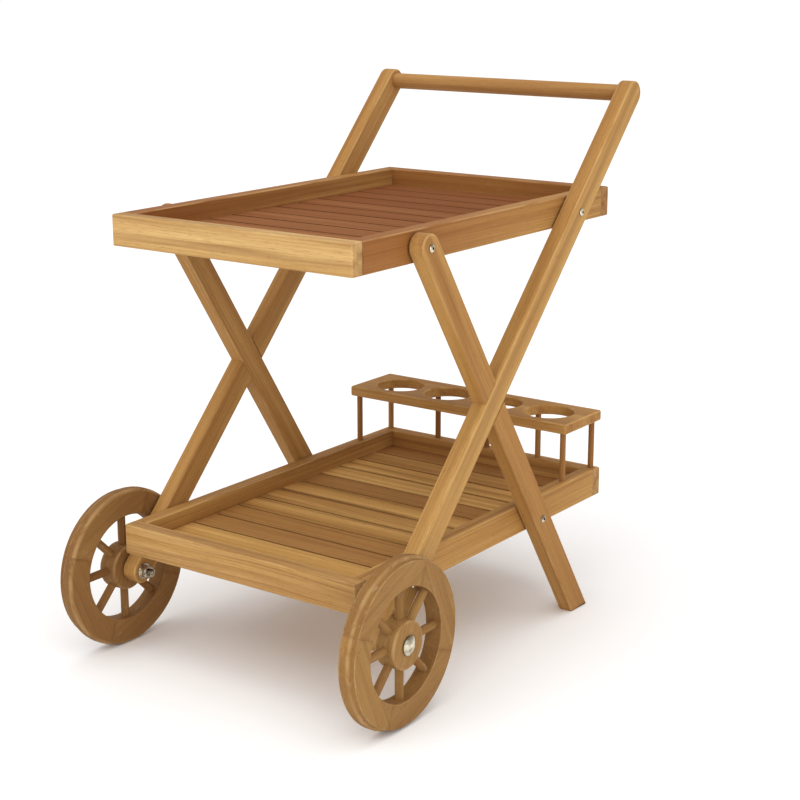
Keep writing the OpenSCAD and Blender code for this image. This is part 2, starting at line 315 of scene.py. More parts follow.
@dataclass(frozen=True)
class TeakFinish:
    """Oiled teak.

    Attributes:
        name: The material's name.
        pale: Colour of the light sapwood side of a board.
        rich: Colour of the heartwood.
        brown: Colour of the dark flames in the heartwood.
        red: Colour that a board of full tone takes.
        ring: Colour of the late wood lines.
        ring_spacing: Distance between growth rings.
        contrast: How strongly the rings show.
        wear: How strongly the rounded edges are polished.
        specks: How many specks and scuffs show.
        wander: How far the grain strays from straight lines.
        scuffs: How pale the scuffs are.
        flames: How strongly the dark flames show.
        roughness: Roughness of the oiled surface.
        shine: Specular level of the oiled surface.
        gap_shade: How strongly painted shade darkens the sides of a slat down in the gaps.
    """

    name: str
    pale: Colour = (0.71, 0.440, 0.146, 1.0)
    rich: Colour = (0.46, 0.238, 0.062, 1.0)
    brown: Colour = (0.24, 0.104, 0.028, 1.0)
    red: Colour = (0.30, 0.112, 0.030, 1.0)
    ring: Colour = (0.22, 0.085, 0.026, 1.0)
    ring_spacing: float = 4.6 * MM
    contrast: float = 0.5
    wear: float = 0.32
    specks: float = 0.5
    wander: float = 12 * MM
    scuffs: float = 0.16
    flames: float = 0.55
    roughness: float = 0.6
    shine: float = 0.13
    gap_shade: float = 0.92

    def build(self, effects: Effects) -> bpy.types.Material:
        """Builds the material from the shared groups."""
        material = bpy.data.materials.new(self.name)
        material.use_nodes = True
        tree = material.node_tree
        shader = tree.nodes["Principled BSDF"]
        place = attribute_of(tree, "grain_pos", "Vector")
        board = attribute_of(tree, "board", "Fac")
        figure = add_node(tree, "ShaderNodeGroup", node_tree=effects.figure)
        tree.links.new(place, figure.inputs["Position"])
        tree.links.new(board, figure.inputs["Board"])
        figure.inputs["Ring Spacing"].default_value = self.ring_spacing
        figure.inputs["Wander"].default_value = self.wander
        wear = add_node(tree, "ShaderNodeGroup", node_tree=effects.wear)
        tree.links.new(place, wear.inputs["Position"])
        tree.links.new(attribute_of(tree, "edge", "Fac"), wear.inputs["Edge"])
        wear.inputs["Amount"].default_value = self.wear
        scuffs = add_node(tree, "ShaderNodeGroup", node_tree=effects.scuffs)
        tree.links.new(place, scuffs.inputs["Position"])
        tree.links.new(board, scuffs.inputs["Board"])
        scuffs.inputs["Amount"].default_value = self.specks

        bands = math_of(tree, "MULTIPLY_ADD", figure.outputs["Patches"], 0.35, figure.outputs["Bands"])
        colour = blend_of(tree, math_of(tree, "MULTIPLY", bands, 0.75, clamp=True), self.pale, self.rich)
        flames = math_of(tree, "MULTIPLY", figure.outputs["Flames"], self.flames)
        colour = blend_of(tree, flames, colour, self.brown)
        colour = blend_of(tree, attribute_of(tree, "tone", "Fac"), colour, self.red)
        rings = math_of(tree, "MULTIPLY", figure.outputs["Rings"], self.contrast)
        colour = blend_of(tree, rings, colour, self.ring)
        streaks = math_of(tree, "MULTIPLY", figure.outputs["Streaks"], 0.56)
        colour = blend_of(tree, streaks, colour, (0.66, 0.55, 0.45, 1.0), "MULTIPLY")
        pores = math_of(tree, "MULTIPLY", figure.outputs["Pores"], 0.42)
        colour = blend_of(tree, pores, colour, self.ring)
        end = math_of(tree, "MULTIPLY", attribute_of(tree, "end_grain", "Fac"), 0.55)
        colour = blend_of(tree, end, colour, (0.62, 0.50, 0.42, 1.0), "MULTIPLY")
        polished = blend_of(tree, 0.45, self.pale, (0.86, 0.62, 0.34, 1.0))
        colour = blend_of(tree, wear.outputs["Mask"], colour, polished)
        specks = math_of(tree, "MULTIPLY", scuffs.outputs["Specks"], 0.75)
        colour = blend_of(tree, specks, colour, (0.13, 0.06, 0.028, 1.0))
        worn = math_of(tree, "MULTIPLY", scuffs.outputs["Scuffs"], self.scuffs)
        colour = blend_of(tree, worn, colour, (0.62, 0.52, 0.40, 1.0))
        # Painted shade: the slat sides down in the gaps turn near-black brown.
        gap = math_of(tree, "MULTIPLY", attribute_of(tree, "gap", "Fac"), self.gap_shade)
        colour = blend_of(tree, gap, colour, (0.100, 0.035, 0.012, 1.0))
        tree.links.new(colour, shader.inputs["Base Color"])

        rough = math_of(tree, "MULTIPLY_ADD", figure.outputs["Streaks"], 0.10, self.roughness - 0.05)
        rough = math_of(tree, "MULTIPLY_ADD", scuffs.outputs["Scuffs"], 0.12, rough)
        rough = math_of(tree, "MULTIPLY_ADD", wear.outputs["Mask"], -0.12, rough)
        tree.links.new(rough, shader.inputs["Roughness"])
        dents = math_of(tree, "MULTIPLY_ADD", scuffs.outputs["Specks"], -0.8, figure.outputs["Height"])
        bump = add_node(
            tree, "ShaderNodeBump", {"Strength": 0.35, "Distance": 0.35 * MM, "Height": dents}
        )
        tree.links.new(bump.outputs["Normal"], shader.inputs["Normal"])
        shader.inputs["Specular IOR Level"].default_value = self.shine
        return material


@dataclass(frozen=True)
class SteelFinish:
    """Plated steel of the fittings.

    Attributes:
        name: The material's name.
        bright: Colour of the clean plating, tinted warm as a painted reflection of the wood.
        dull: Colour where the plating has clouded, made dark as a painted reflection of dark surroundings.
        roughness: Roughness of the clean plating.
        cloud: How much of the surface takes the darker colour, as clouding and painted reflection.
        cloud_size: Width of a patch of clouding and painted reflection.
        grime: Colour of the tarnish and painted shade under a head's edge and in its socket.
    """

    name: str
    bright: Colour = (0.80, 0.78, 0.73, 1.0)
    dull: Colour = (0.50, 0.47, 0.41, 1.0)
    roughness: float = 0.16
    cloud: float = 0.5
    cloud_size: float = 3.8 * MM
    grime: Colour = (0.13, 0.10, 0.07, 1.0)

    def build(self) -> bpy.types.Material:
        """Builds the material: clouded plating with painted reflections, faint scratches and a fine orange-peel
        surface.
        """
        material = bpy.data.materials.new(self.name)
        material.use_nodes = True
        tree = material.node_tree
        shader = tree.nodes["Principled BSDF"]
        place = add_node(tree, "ShaderNodeTexCoord").outputs["Object"]
        cloud = remap_of(tree, noise_of(tree, place, 1.0 / self.cloud_size, 1.0), 0.40, 0.66, self.cloud)
        scratch = noise_of(tree, vector_of(tree, "MULTIPLY", place, (300.0, 2400.0, 300.0)), 1.0, 2.0)
        scratch = remap_of(tree, scratch, 0.58, 0.70)
        colour = blend_of(tree, cloud, self.bright, self.dull)
        colour = blend_of(tree, math_of(tree, "MULTIPLY", scratch, 0.25), colour, self.dull)
        # Tarnish and painted shade: darker where the edge weight marks a head's rim and its socket.
        tarnish_and_shade = math_of(tree, "MULTIPLY", attribute_of(tree, "edge", "Fac"), 0.85)
        colour = blend_of(tree, tarnish_and_shade, colour, self.grime)
        tree.links.new(colour, shader.inputs["Base Color"])
        rough = math_of(tree, "MULTIPLY_ADD", cloud, 0.30, self.roughness)
        tree.links.new(math_of(tree, "MULTIPLY_ADD", scratch, 0.12, rough), shader.inputs["Roughness"])
        height = math_of(tree, "MULTIPLY_ADD", scratch, -0.5, noise_of(tree, place, 900.0, 2.0))
        bump = add_node(tree, "ShaderNodeBump", {"Strength": 0.18, "Distance": 0.1 * MM, "Height": height})
        tree.links.new(bump.outputs["Normal"], shader.inputs["Normal"])
        shader.inputs["Metallic"].default_value = 1.0
        return material


class Palette:
    """Every finish of the trolley, built once."""

    def __init__(self) -> None:
        """Builds the effects and the materials."""
        effects = Effects()
        self.legs = TeakFinish(
            "Leg teak",
            pale=(0.65, 0.400, 0.132, 1.0),
            rich=(0.44, 0.225, 0.060, 1.0),
            ring_spacing=5.5 * MM,
            contrast=0.5,
            flames=0.45,
        ).build(effects)
        self.rails = TeakFinish("Rail teak", contrast=0.55, flames=0.8).build(effects)
        # Paler wood, partly painted light: this colour also carries the brightness of the front light falling on the
        # front rails.
        self.front_rails = TeakFinish(
            "Pale rail teak",
            pale=(0.72, 0.470, 0.192, 1.0),
            rich=(0.50, 0.290, 0.092, 1.0),
            brown=(0.28, 0.132, 0.040, 1.0),
            contrast=0.7,
            flames=0.8,
            wander=24 * MM,
        ).build(effects)
        self.upper_slats = TeakFinish(
            "Rosy slat teak",
            pale=(0.49, 0.240, 0.096, 1.0),
            rich=(0.335, 0.144, 0.056, 1.0),
            brown=(0.18, 0.060, 0.021, 1.0),
            red=(0.20, 0.064, 0.022, 1.0),
            contrast=0.5,
            ring_spacing=6.5 * MM,
            wear=0.0,
            wander=3 * MM,
            roughness=0.8,
            shine=0.05,
        ).build(effects)
        self.lower_slats = TeakFinish(
            "Slat teak",
            pale=(0.80, 0.505, 0.172, 1.0),
            rich=(0.55, 0.305, 0.090, 1.0),
            brown=(0.27, 0.122, 0.038, 1.0),
            red=(0.34, 0.160, 0.050, 1.0),
            contrast=0.5,
            wear=0.2,
            flames=0.8,
            wander=3 * MM,
            roughness=0.78,
            shine=0.06,
            gap_shade=0.4,
        ).build(effects)
        self.rack = TeakFinish("Rack teak", contrast=0.45).build(effects)
        self.dowels = TeakFinish(
            "Dowel teak",
            pale=(0.64, 0.395, 0.140, 1.0),
            rich=(0.46, 0.245, 0.076, 1.0),
            contrast=0.4,
            specks=0.3,
            flames=0.35,
        ).build(effects)
        self.wheels = TeakFinish(
            "Wheel teak",
            pale=(0.49, 0.295, 0.098, 1.0),
            rich=(0.37, 0.205, 0.064, 1.0),
            brown=(0.19, 0.084, 0.030, 1.0),
            red=(0.215, 0.098, 0.031, 1.0),
            contrast=0.28,
            specks=1.0,
            scuffs=0.3,
            flames=0.3,
            roughness=0.66,
            shine=0.15,
        ).build(effects)
        # Painted reflection: the warm bright colour and large near-black patches stand in for wood and dark
        # surroundings mirrored in the domes.
        self.bright_steel = SteelFinish(
            "Polished steel",
            bright=(0.74, 0.67, 0.52, 1.0),
            dull=(0.13, 0.10, 0.06, 1.0),
            roughness=0.1,
            cloud=0.85,
            cloud_size=10 * MM,
        ).build()
        # Painted reflection: the warm tint stands in for the wood that the nuts, washers and spacers mirror.
        self.zinc = SteelFinish(
            "Zinc plate", bright=(0.66, 0.62, 0.54, 1.0), dull=(0.26, 0.23, 0.18, 1.0), roughness=0.2
        ).build()


# ---------------------------------------------------------------------------------------------------------------
# Outlines and meshes
# ---------------------------------------------------------------------------------------------------------------


def rounded(corners: Sequence[tuple[float, float, float]], steps: int = 4) -> Outline:
    """Rounds the corners of a closed outline.

    Args:
        corners: Each corner's two coordinates and its radius, counter-clockwise.
        steps: Number of straight pieces in each rounding.

    Returns:
        The outline's points, each with a weight that is 1 in the middle of a rounding.
    """
    points: Outline = []
    for i, (x, y, radius) in enumerate(corners):
        here = Vector((x, y))
        if radius <= 0.0:
            points.append((x, y, 0.0))
            continue
        back = (Vector(corners[i - 1][:2]) - here).normalized()
        ahead = (Vector(corners[(i + 1) % len(corners)][:2]) - here).normalized()
        half = back.angle(ahead) / 2
        centre = here + (back + ahead).normalized() * (radius / math.sin(half))
        start = here + back * (radius / math.tan(half)) - centre
        end = here + ahead * (radius / math.tan(half)) - centre
        sweep = math.atan2(start.x * end.y - start.y * end.x, start.dot(end))
        for k in range(steps + 1):
            turn = sweep * k / steps
            cos, sin = math.cos(turn), math.sin(turn)
            spoke = Vector((start.x * cos - start.y * sin, start.x * sin + start.y * cos))
            points.append((centre.x + spoke.x, centre.y + spoke.y, math.sin(math.pi * k / steps)))
    return points


def circle(radius: float, steps: int) -> Outline:
    """A circle's points, with no edge weight."""
    turns = [2 * math.pi * k / steps for k in range(steps)]
    return [(radius * math.cos(t), radius * math.sin(t), 0.0) for t in turns]


def inset(outline: Outline, depth: float) -> Outline:
    """Moves a counter-clockwise outline inwards by a depth smaller than its roundings."""
    moved: Outline = []
    count = len(outline)
    for i, (x, y, weight) in enumerate(outline):
        before = Vector((x - outline[i - 1][0], y - outline[i - 1][1])).normalized()
        after = Vector((outline[(i + 1) % count][0] - x, outline[(i + 1) % count][1] - y)).normalized()
        first, second = Vector((-before.y, before.x)), Vector((-after.y, after.x))
        mitre = (first + second) / max(0.2, 1 + first.dot(second))
        moved.append((x + mitre.x * depth, y + mitre.y * depth, weight))
    return moved


@dataclass
class Layer:
    """One level of an extruded shape.

    Attributes:
        outline: The outline at that level.
        height: The level along the extrusion.
        arris: Edge weight, 1 in the middle of the rounded arris.
        facing: How much the surface faces along the extrusion there.
    """

    outline: Outline
    height: float
    arris: float
    facing: float


def extruded(
    outline: Outline, low: float, high: float, low_round: float, high_round: float, steps: int = 4
) -> list[Layer]:
    """Stacks an outline between two levels, with rounded arrises at both ends.

    Args:
        outline: The counter-clockwise outline.
        low: The lower level.
        high: The upper level.
        low_round: Radius of the lower arris.
        high_round: Radius of the upper arris.
        steps: Number of straight pieces in an arris.

    Returns:
        The layers from low to high.
    """

    def end(radius: float, level: float, inward: float) -> list[Layer]:
        """The layers of one arris, from its flat face outwards."""
        if radius <= 0.0:
            return [Layer(outline, level, 0.0, 1.0)]
        turns = [math.pi / 2 * k / steps for k in range(steps + 1)]
        return [
            Layer(
                inset(outline, radius * (1 - math.sin(t))),
                level + inward * radius * (1 - math.cos(t)),
                math.sin(2 * t),
                math.cos(t),
            )
            for t in turns
        ]

    return end(low_round, low, 1.0) + end(high_round, high, -1.0)[::-1]


@dataclass(frozen=True)
class Grain:
    """How one board lies in its tree.

    Attributes:
        origin: The middle of the board.
        along: Direction of the grain.
        across: Direction over the board's width.
        board: A number that picks the board's own figure.
        tone: How red the board is, from 0 to 1.
        fade: How much redder it gets along its length, for each metre.
    """

    origin: Vector
    along: Vector
    across: Vector
    board: float
    tone: float
    fade: float = 0.0

    def place(self, point: Vector) -> tuple[float, float, float]:
        """The point measured along, across and through the board."""
        offset = point - self.origin
        through = self.along.cross(self.across)
        return offset.dot(self.along), offset.dot(self.across), offset.dot(through)

    def redness(self, point: Vector) -> float:
        """How red the board is at a point."""
        return self.tone + self.fade * (point - self.origin).dot(self.along)


class Joinery:
    """Collects closed shells with their grain and turns them into one piece."""

    def __init__(self, name: str, material: bpy.types.Material) -> None:
        """Starts an empty piece."""
        self.name = name
        self.material = material
        self.points: list[Vector] = []
        self.faces: list[list[int]] = []
        self.rows: list[GrainRow] = []

    def shell(
        self,
        rings: Sequence[Ring],
        grain: Grain,
        edge: Callable[[int, int], float],
        end: Callable[[int, int], float],
        closed: bool = False,
    ) -> None:
        """Adds a shell stretched over rings of equal length.

        Args:
            rings: The rings in order.
            grain: The board's grain.
            edge: Edge weight of a ring's point.
            end: End grain weight of a ring's point.
            closed: Whether the last ring joins the first, instead of both being capped.
        """
        base, size = len(self.points), len(rings[0])
        for i, ring in enumerate(rings):
            for j, point in enumerate(ring):
                self.points.append(point)
                self.rows.append((grain.place(point), grain.board, grain.redness(point), edge(i, j), end(i, j)))
        spans = len(rings) if closed else len(rings) - 1
        for i in range(spans):
            low, high = base + i * size, base + (i + 1) % len(rings) * size
            for j in range(size):
                k = (j + 1) % size
                self.faces.append([low + j, low + k, high + k, high + j])
        if not closed:
            self.faces.append([base + j for j in reversed(range(size))])
            self.faces.append([base + (len(rings) - 1) * size + j for j in range(size)])

    def layers(self, layers: Sequence[Layer], put: Callable[[float, float, float], Vector], grain: Grain) -> None:
        """Adds an extruded shape whose grain runs along the extrusion."""
        rings = [[put(x, y, layer.height) for x, y, _ in layer.outline] for layer in layers]
        self.shell(
            rings,
            grain,
            lambda i, j: max(layers[i].arris, layers[i].outline[j][2]),
            lambda i, j: layers[i].facing**2,
        )

    def board(
        self,
        low: Vector,
        high: Vector,
        axis: Axis,
        radius: float,
        ends: float,
        board: float,
        tone: float,
        fade: float = 0.0,
    ) -> None:
        """Adds a straight board.

        Args:
            low: The board's lowest corner.
            high: The board's highest corner.
            axis: The axis of the grain.
            radius: Radius of the long edges.
            ends: Radius of the edges round the two ends.
            board: The number that picks the figure.
            tone: How red the board is.
            fade: How much redder it gets along its axis, for each metre.
        """
        a, b, c = axis.value
        section = [(low[b], low[c]), (high[b], low[c]), (high[b], high[c]), (low[b], high[c])]
        outline = rounded([(x, y, radius) for x, y in section])

        def put(x: float, y: float, height: float) -> Vector:
            """Puts a point of the section at its height along the grain."""
            point = Vector((0.0, 0.0, 0.0))
            point[a], point[b], point[c] = height, x, y
            return point

        along, across = Vector((0.0, 0.0, 0.0)), Vector((0.0, 0.0, 0.0))
        wide = b if high[b] - low[b] > high[c] - low[c] else c
        along[a] = across[wide] = 1.0
        grain = Grain((low + high) / 2, along, across, board, tone, fade)
        self.layers(extruded(outline, low[a], high[a], ends, ends), put, grain)

    def mesh(self) -> bpy.types.Mesh:
        """Makes the mesh with outward faces and the grain attributes."""
        mesh = bpy.data.meshes.new(self.name)
        mesh.from_pydata([tuple(p) for p in self.points], [], self.faces)
        work = bmesh.new()
        work.from_mesh(mesh)
        bmesh.ops.recalc_face_normals(work, faces=work.faces)
        work.to_mesh(mesh)
        work.free()
        mesh.materials.append(self.material)
        stamp(mesh, self.rows)
        return mesh

    def piece(self) -> bpy.types.Object:
        """Makes the finished object, smooth over its roundings."""
        thing = bpy.data.objects.new(self.name, self.mesh())
        bpy.context.collection.objects.link(thing)
        return smoothed(thing)


def stamp(mesh: bpy.types.Mesh, rows: Sequence[GrainRow]) -> None:
    """Writes the grain attributes that the teak finishes read, one row for each point."""
    places = mesh.attributes.new("grain_pos", "FLOAT_VECTOR", "POINT")
    places.data.foreach_set("vector", [value for row in rows for value in row[0]])
    for slot, name in enumerate(("board", "tone", "edge", "end_grain"), start=1):
        layer = mesh.attributes.new(name, "FLOAT", "POINT")
        layer.data.foreach_set("value", [row[slot] for row in rows])


def plain(thing: bpy.types.Object) -> bpy.types.Object:
    """Turns an object with modifiers into a plain mesh and takes the modifiers off."""
    bpy.context.view_layer.update()
    graph = bpy.context.evaluated_depsgraph_get()
    made = bpy.data.meshes.new_from_object(thing.evaluated_get(graph), depsgraph=graph)
    made.name = thing.name
    thing.modifiers.clear()
    thing.data = made
    return thing


def smoothed(thing: bpy.types.Object, angle: float = 40.0) -> bpy.types.Object:
    """Shades an object smooth, sharp over an angle, with flat faces kept flat by their area."""
    thing.data.shade_smooth()
    thing.data.set_sharp_from_angle(angle=math.radians(angle))
    weigh = thing.modifiers.new("Flat faces", "WEIGHTED_NORMAL")
    weigh.weight = 90
    weigh.keep_sharp = True
    return plain(thing)


# ---------------------------------------------------------------------------------------------------------------
# Geometry Nodes
# ---------------------------------------------------------------------------------------------------------------


class Patterns:
    """The Geometry Nodes trees for what repeats."""

    GEOMETRY = "NodeSocketGeometry"
    FLOAT = "NodeSocketFloat"
    INT = "NodeSocketInt"
    VECTOR = "NodeSocketVector"

    def __init__(self) -> None:
        """Builds every tree."""
        self.slats = self._slat_floor()
        self.spokes = self._spoke_star()
        self.copies = self._copies()

    @staticmethod
    def _keep(
        tree: bpy.types.NodeTree,
        geometry: object,
        name: str,
        value: object,
        domain: str = "POINT",
        kind: str = "FLOAT",
    ) -> bpy.types.NodeSocket:
        """Stores an attribute on a geometry and returns the geometry."""
        node = add_node(
            tree,
            "GeometryNodeStoreNamedAttribute",
            {"Geometry": geometry, "Name": name, "Value": value},
            data_type=kind,
            domain=domain,
        )
        return node.outputs[0]

    @classmethod
    def _boards(
        cls, tree: bpy.types.NodeTree, given: bpy.types.Node, instances: object, drift: object | None = None
    ) -> bpy.types.NodeSocket:
        """Gives each instance its own figure and tone, the tone drifting by the instance, then makes them real."""
        index = add_node(tree, "GeometryNodeInputIndex").outputs[0]
        for step, (name, low, high) in enumerate(
            (("board", 1.0, 60.0), ("tone", given.outputs["Tone Low"], given.outputs["Tone High"]))
        ):
            seed = math_of(tree, "ADD", given.outputs["Seed"], float(step))
            dice = add_node(tree, "FunctionNodeRandomValue", {2: low, 3: high, 7: index, 8: seed}, data_type="FLOAT")
            value = dice.outputs[1]
            if name == "tone" and drift is not None:
                value = math_of(tree, "MULTIPLY_ADD", index, drift, value, clamp=True)
            instances = cls._keep(tree, instances, name, value, "INSTANCE")
        return add_node(tree, "GeometryNodeRealizeInstances", {0: instances}).outputs[0]

    @staticmethod
    def _dress(tree: bpy.types.NodeTree, given: bpy.types.Node, out: bpy.types.Node, geometry: object) -> None:
        """Ends a tree with its material."""
        end = add_node(
            tree, "GeometryNodeSetMaterial", {"Geometry": geometry, "Material": given.outputs["Material"]}
        )
        tree.links.new(end.outputs[0], out.inputs[0])

    @classmethod
    def _inputs(cls, *own: tuple[str, str, object]) -> list[tuple[str, str, object]]:
        """The inputs that every tree has, with its own between them."""
        return [
            ("Geometry", cls.GEOMETRY, None),
            *own,
            ("Tone Low", cls.FLOAT, 0.2),
            ("Tone High", cls.FLOAT, 0.6),
            ("Seed", cls.INT, 1),
            ("Material", "NodeSocketMaterial", None),
        ]

    @staticmethod
    def _sweep(tree: bpy.types.NodeTree, start: object, end: object, profile: object) -> bpy.types.NodeSocket:
        """Sweeps a profile along a straight line."""
        line = add_node(tree, "GeometryNodeCurvePrimitiveLine", {"Start": start, "End": end})
        swept = add_node(
            tree,
            "GeometryNodeCurveToMesh",
            {"Curve": line.outputs[0], "Profile Curve": profile, "Fill Caps": True},
        )
        return swept.outputs[0]

    def _slat_floor(self) -> bpy.types.NodeTree:
        """Slats of rounded section, side by side, with their length along Y."""
        tree, given, out = new_group(
            "GeometryNodeTree",
            "Slat floor",
            self._inputs(
                ("First Slat", self.VECTOR, None),
                ("Slat Count", self.INT, 12),
                ("Pitch", self.FLOAT, 0.055),
                ("Length", self.FLOAT, 0.4),
                ("Width", self.FLOAT, 0.05),
                ("Thickness", self.FLOAT, 0.012),
                ("Rounding", self.FLOAT, 0.002),
                ("Tone Drift", self.FLOAT, 0.0),
            ),
            [("Geometry", self.GEOMETRY)],
        )
        section = add_node(
            tree,
            "GeometryNodeCurvePrimitiveQuadrilateral",
            {"Width": given.outputs["Width"], "Height": given.outputs["Thickness"]},
        )
        section = add_node(
            tree,
            "GeometryNodeFilletCurve",
            {"Curve": section.outputs[0], "Radius": given.outputs["Rounding"], "Count": 3},
            mode="POLY",
        )
        far = math_of(tree, "MULTIPLY", given.outputs["Length"], 0.5)
        near = math_of(tree, "MULTIPLY", far, -1.0)
        start = add_node(tree, "ShaderNodeCombineXYZ", {2: near}).outputs[0]
        end = add_node(tree, "ShaderNodeCombineXYZ", {2: far}).outputs[0]
        slat = self._sweep(tree, start, end, section.outputs[0])
        lay = add_node(tree, "GeometryNodeTransform", {"Geometry": slat, "Rotation": Euler((math.pi / 2, 0.0, 0.0))})
        slat = lay.outputs[0]
        parts = add_node(tree, "ShaderNodeSeparateXYZ", {0: add_node(tree, "GeometryNodeInputPosition").outputs[0]})
        place = add_node(
            tree, "ShaderNodeCombineXYZ", {0: parts.outputs[1], 1: parts.outputs[0], 2: parts.outputs[2]}
        ).outputs[0]
        slat = self._keep(tree, slat, "grain_pos", place, kind="FLOAT_VECTOR")
        step = add_node(tree, "ShaderNodeCombineXYZ", {0: given.outputs["Pitch"]}).outputs[0]
        row = add_node(
            tree,
            "GeometryNodeMeshLine",
            {"Count": given.outputs["Slat Count"], "Start Location": given.outputs["First Slat"], "Offset": step},
            mode="OFFSET",
        )
        copies = add_node(
            tree, "GeometryNodeInstanceOnPoints", {"Points": row.outputs[0], "Instance": slat}
        ).outputs[0]
        self._dress(tree, given, out, self._boards(tree, given, copies, given.outputs["Tone Drift"]))
        return tree

    def _spoke_star(self) -> bpy.types.NodeTree:
        """Dowels that stand round an axle along Y, from the hub's sockets to the rim's."""
        tree, given, out = new_group(
            "GeometryNodeTree",
            "Spoke star",
            self._inputs(
                ("Axle", self.VECTOR, None),
                ("Spoke Count", self.INT, 8),
                ("Inner Radius", self.FLOAT, 0.02),
                ("Outer Radius", self.FLOAT, 0.1),
                ("Diameter", self.FLOAT, 0.013),
            ),
            [("Geometry", self.GEOMETRY)],
        )
        radius = math_of(tree, "MULTIPLY", given.outputs["Diameter"], 0.5)
        ring = add_node(tree, "GeometryNodeCurvePrimitiveCircle", {"Resolution": 28, "Radius": radius})
        start = add_node(tree, "ShaderNodeCombineXYZ", {0: given.outputs["Inner Radius"]}).outputs[0]
        end = add_node(tree, "ShaderNodeCombineXYZ", {0: given.outputs["Outer Radius"]}).outputs[0]
        spoke = self._sweep(tree, start, end, ring.outputs[0])
        place = add_node(tree, "GeometryNodeInputPosition").outputs[0]
        spoke = self._keep(tree, spoke, "grain_pos", place, kind="FLOAT_VECTOR")
        points = add_node(
            tree, "GeometryNodePoints", {"Count": given.outputs["Spoke Count"], "Position": given.outputs["Axle"]}
        )
        index = add_node(tree, "GeometryNodeInputIndex").outputs[0]
        turn = math_of(tree, "DIVIDE", 2 * math.pi, given.outputs["Spoke Count"])
        turned = add_node(tree, "ShaderNodeCombineXYZ", {1: math_of(tree, "MULTIPLY", index, turn)}).outputs[0]
        copies = add_node(
            tree,
            "GeometryNodeInstanceOnPoints",
            {"Points": points.outputs[0], "Instance": spoke, "Rotation": turned},
        ).outputs[0]
        self._dress(tree, given, out, self._boards(tree, given, copies))
        return tree

    def _copies(self) -> bpy.types.NodeTree:
        """Copies of one part at the points of the mesh, all turned the same way."""
        tree, given, out = new_group(
            "GeometryNodeTree",
            "Copies at points",
            self._inputs(("Part", "NodeSocketObject", None), ("Turn", self.VECTOR, None)),
            [("Geometry", self.GEOMETRY)],
        )
        part = add_node(tree, "GeometryNodeObjectInfo", {"Object": given.outputs["Part"]})
        copies = add_node(
            tree,
            "GeometryNodeInstanceOnPoints",
            {
                "Points": add_node(tree, "GeometryNodeMeshToPoints", {0: given.outputs["Geometry"]}).outputs[0],
                "Instance": part.outputs["Geometry"],
                "Rotation": given.outputs["Turn"],
            },
        ).outputs[0]
        self._dress(tree, given, out, self._boards(tree, given, copies))
        return tree

    @staticmethod
    def run(
        name: str, tree: bpy.types.NodeTree, values: dict[str, object], points: Iterable[Vector] = ()
    ) -> bpy.types.Object:
        """Runs a tree once and keeps its result as a plain mesh.

        Args:
            name: The piece's name.
            tree: The tree to run.
            values: The tree's inputs by name.
            points: Where the tree puts its copies, if it reads a mesh.

        Returns:
            The finished object.
        """
        mesh = bpy.data.meshes.new(name)
        mesh.from_pydata([tuple(p) for p in points], [], [])
        thing = bpy.data.objects.new(name, mesh)
        bpy.context.collection.objects.link(thing)
        modifier = thing.modifiers.new(tree.name, "NODES")
        modifier.node_group = tree
        sockets = {i.name: i.identifier for i in tree.interface.items_tree if i.in_out == "INPUT"}
        for label, value in values.items():
            modifier[sockets[label]] = value
        return smoothed(plain(thing))


def add_edge_weights(thing: bpy.types.Object, low: float, high: float, rounding: float) -> bpy.types.Object:
    """Writes where a floor of slats has rounded edges, and the painted shade on their sides down in the gaps.

    Args:
        thing: The slats, flat between two levels.
        low: The level of their undersides.
        high: The level of their tops.
        rounding: Radius of their long edges.

    Returns:
        The same slats.
    """
    mesh = thing.data
    depths = [min(1.0, max(0.0, min(high - v.co.z, v.co.z - low) / rounding)) for v in mesh.vertices]
    weights = [4.0 * depth * (1.0 - depth) for depth in depths]
    # Weight of the painted shade on the slat sides, growing away from their top and bottom faces.
    gaps = [min(1.0, max(0.0, depth - 0.05) / 0.6) for depth in depths]
    for name, values in (("edge", weights), ("gap", gaps)):
        layer = mesh.attributes.new(name, "FLOAT", "POINT")
        layer.data.foreach_set("value", values)
    return thing


# ---------------------------------------------------------------------------------------------------------------
# The trolley
# ---------------------------------------------------------------------------------------------------------------


def span(*nodes: str) -> tuple[Vector, Vector]:
    """The box round several CAD nodes."""
    boxes = [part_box(node) for node in nodes]
    low = Vector(min(b[0][i] for b in boxes) for i in range(3))
    high = Vector(max(b[1][i] for b in boxes) for i in range(3))
    return low, high


def mount(record: dict, name: str) -> dict:
    """Finds one of the part's mounts in its record."""
    return next(m for m in record["mounts"] if m["name"] == name)


def hand_over(thing: bpy.types.Object, body: str, slot: str, *nodes: str) -> bpy.types.Object:
    """Rides a finished piece on its body in place of its CAD nodes, and logs it."""
    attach(thing, body)
    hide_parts(*nodes)
    LOG.info("%s: %d faces, rides on %s", thing.name, len(thing.data.polygons), body)
    return thing


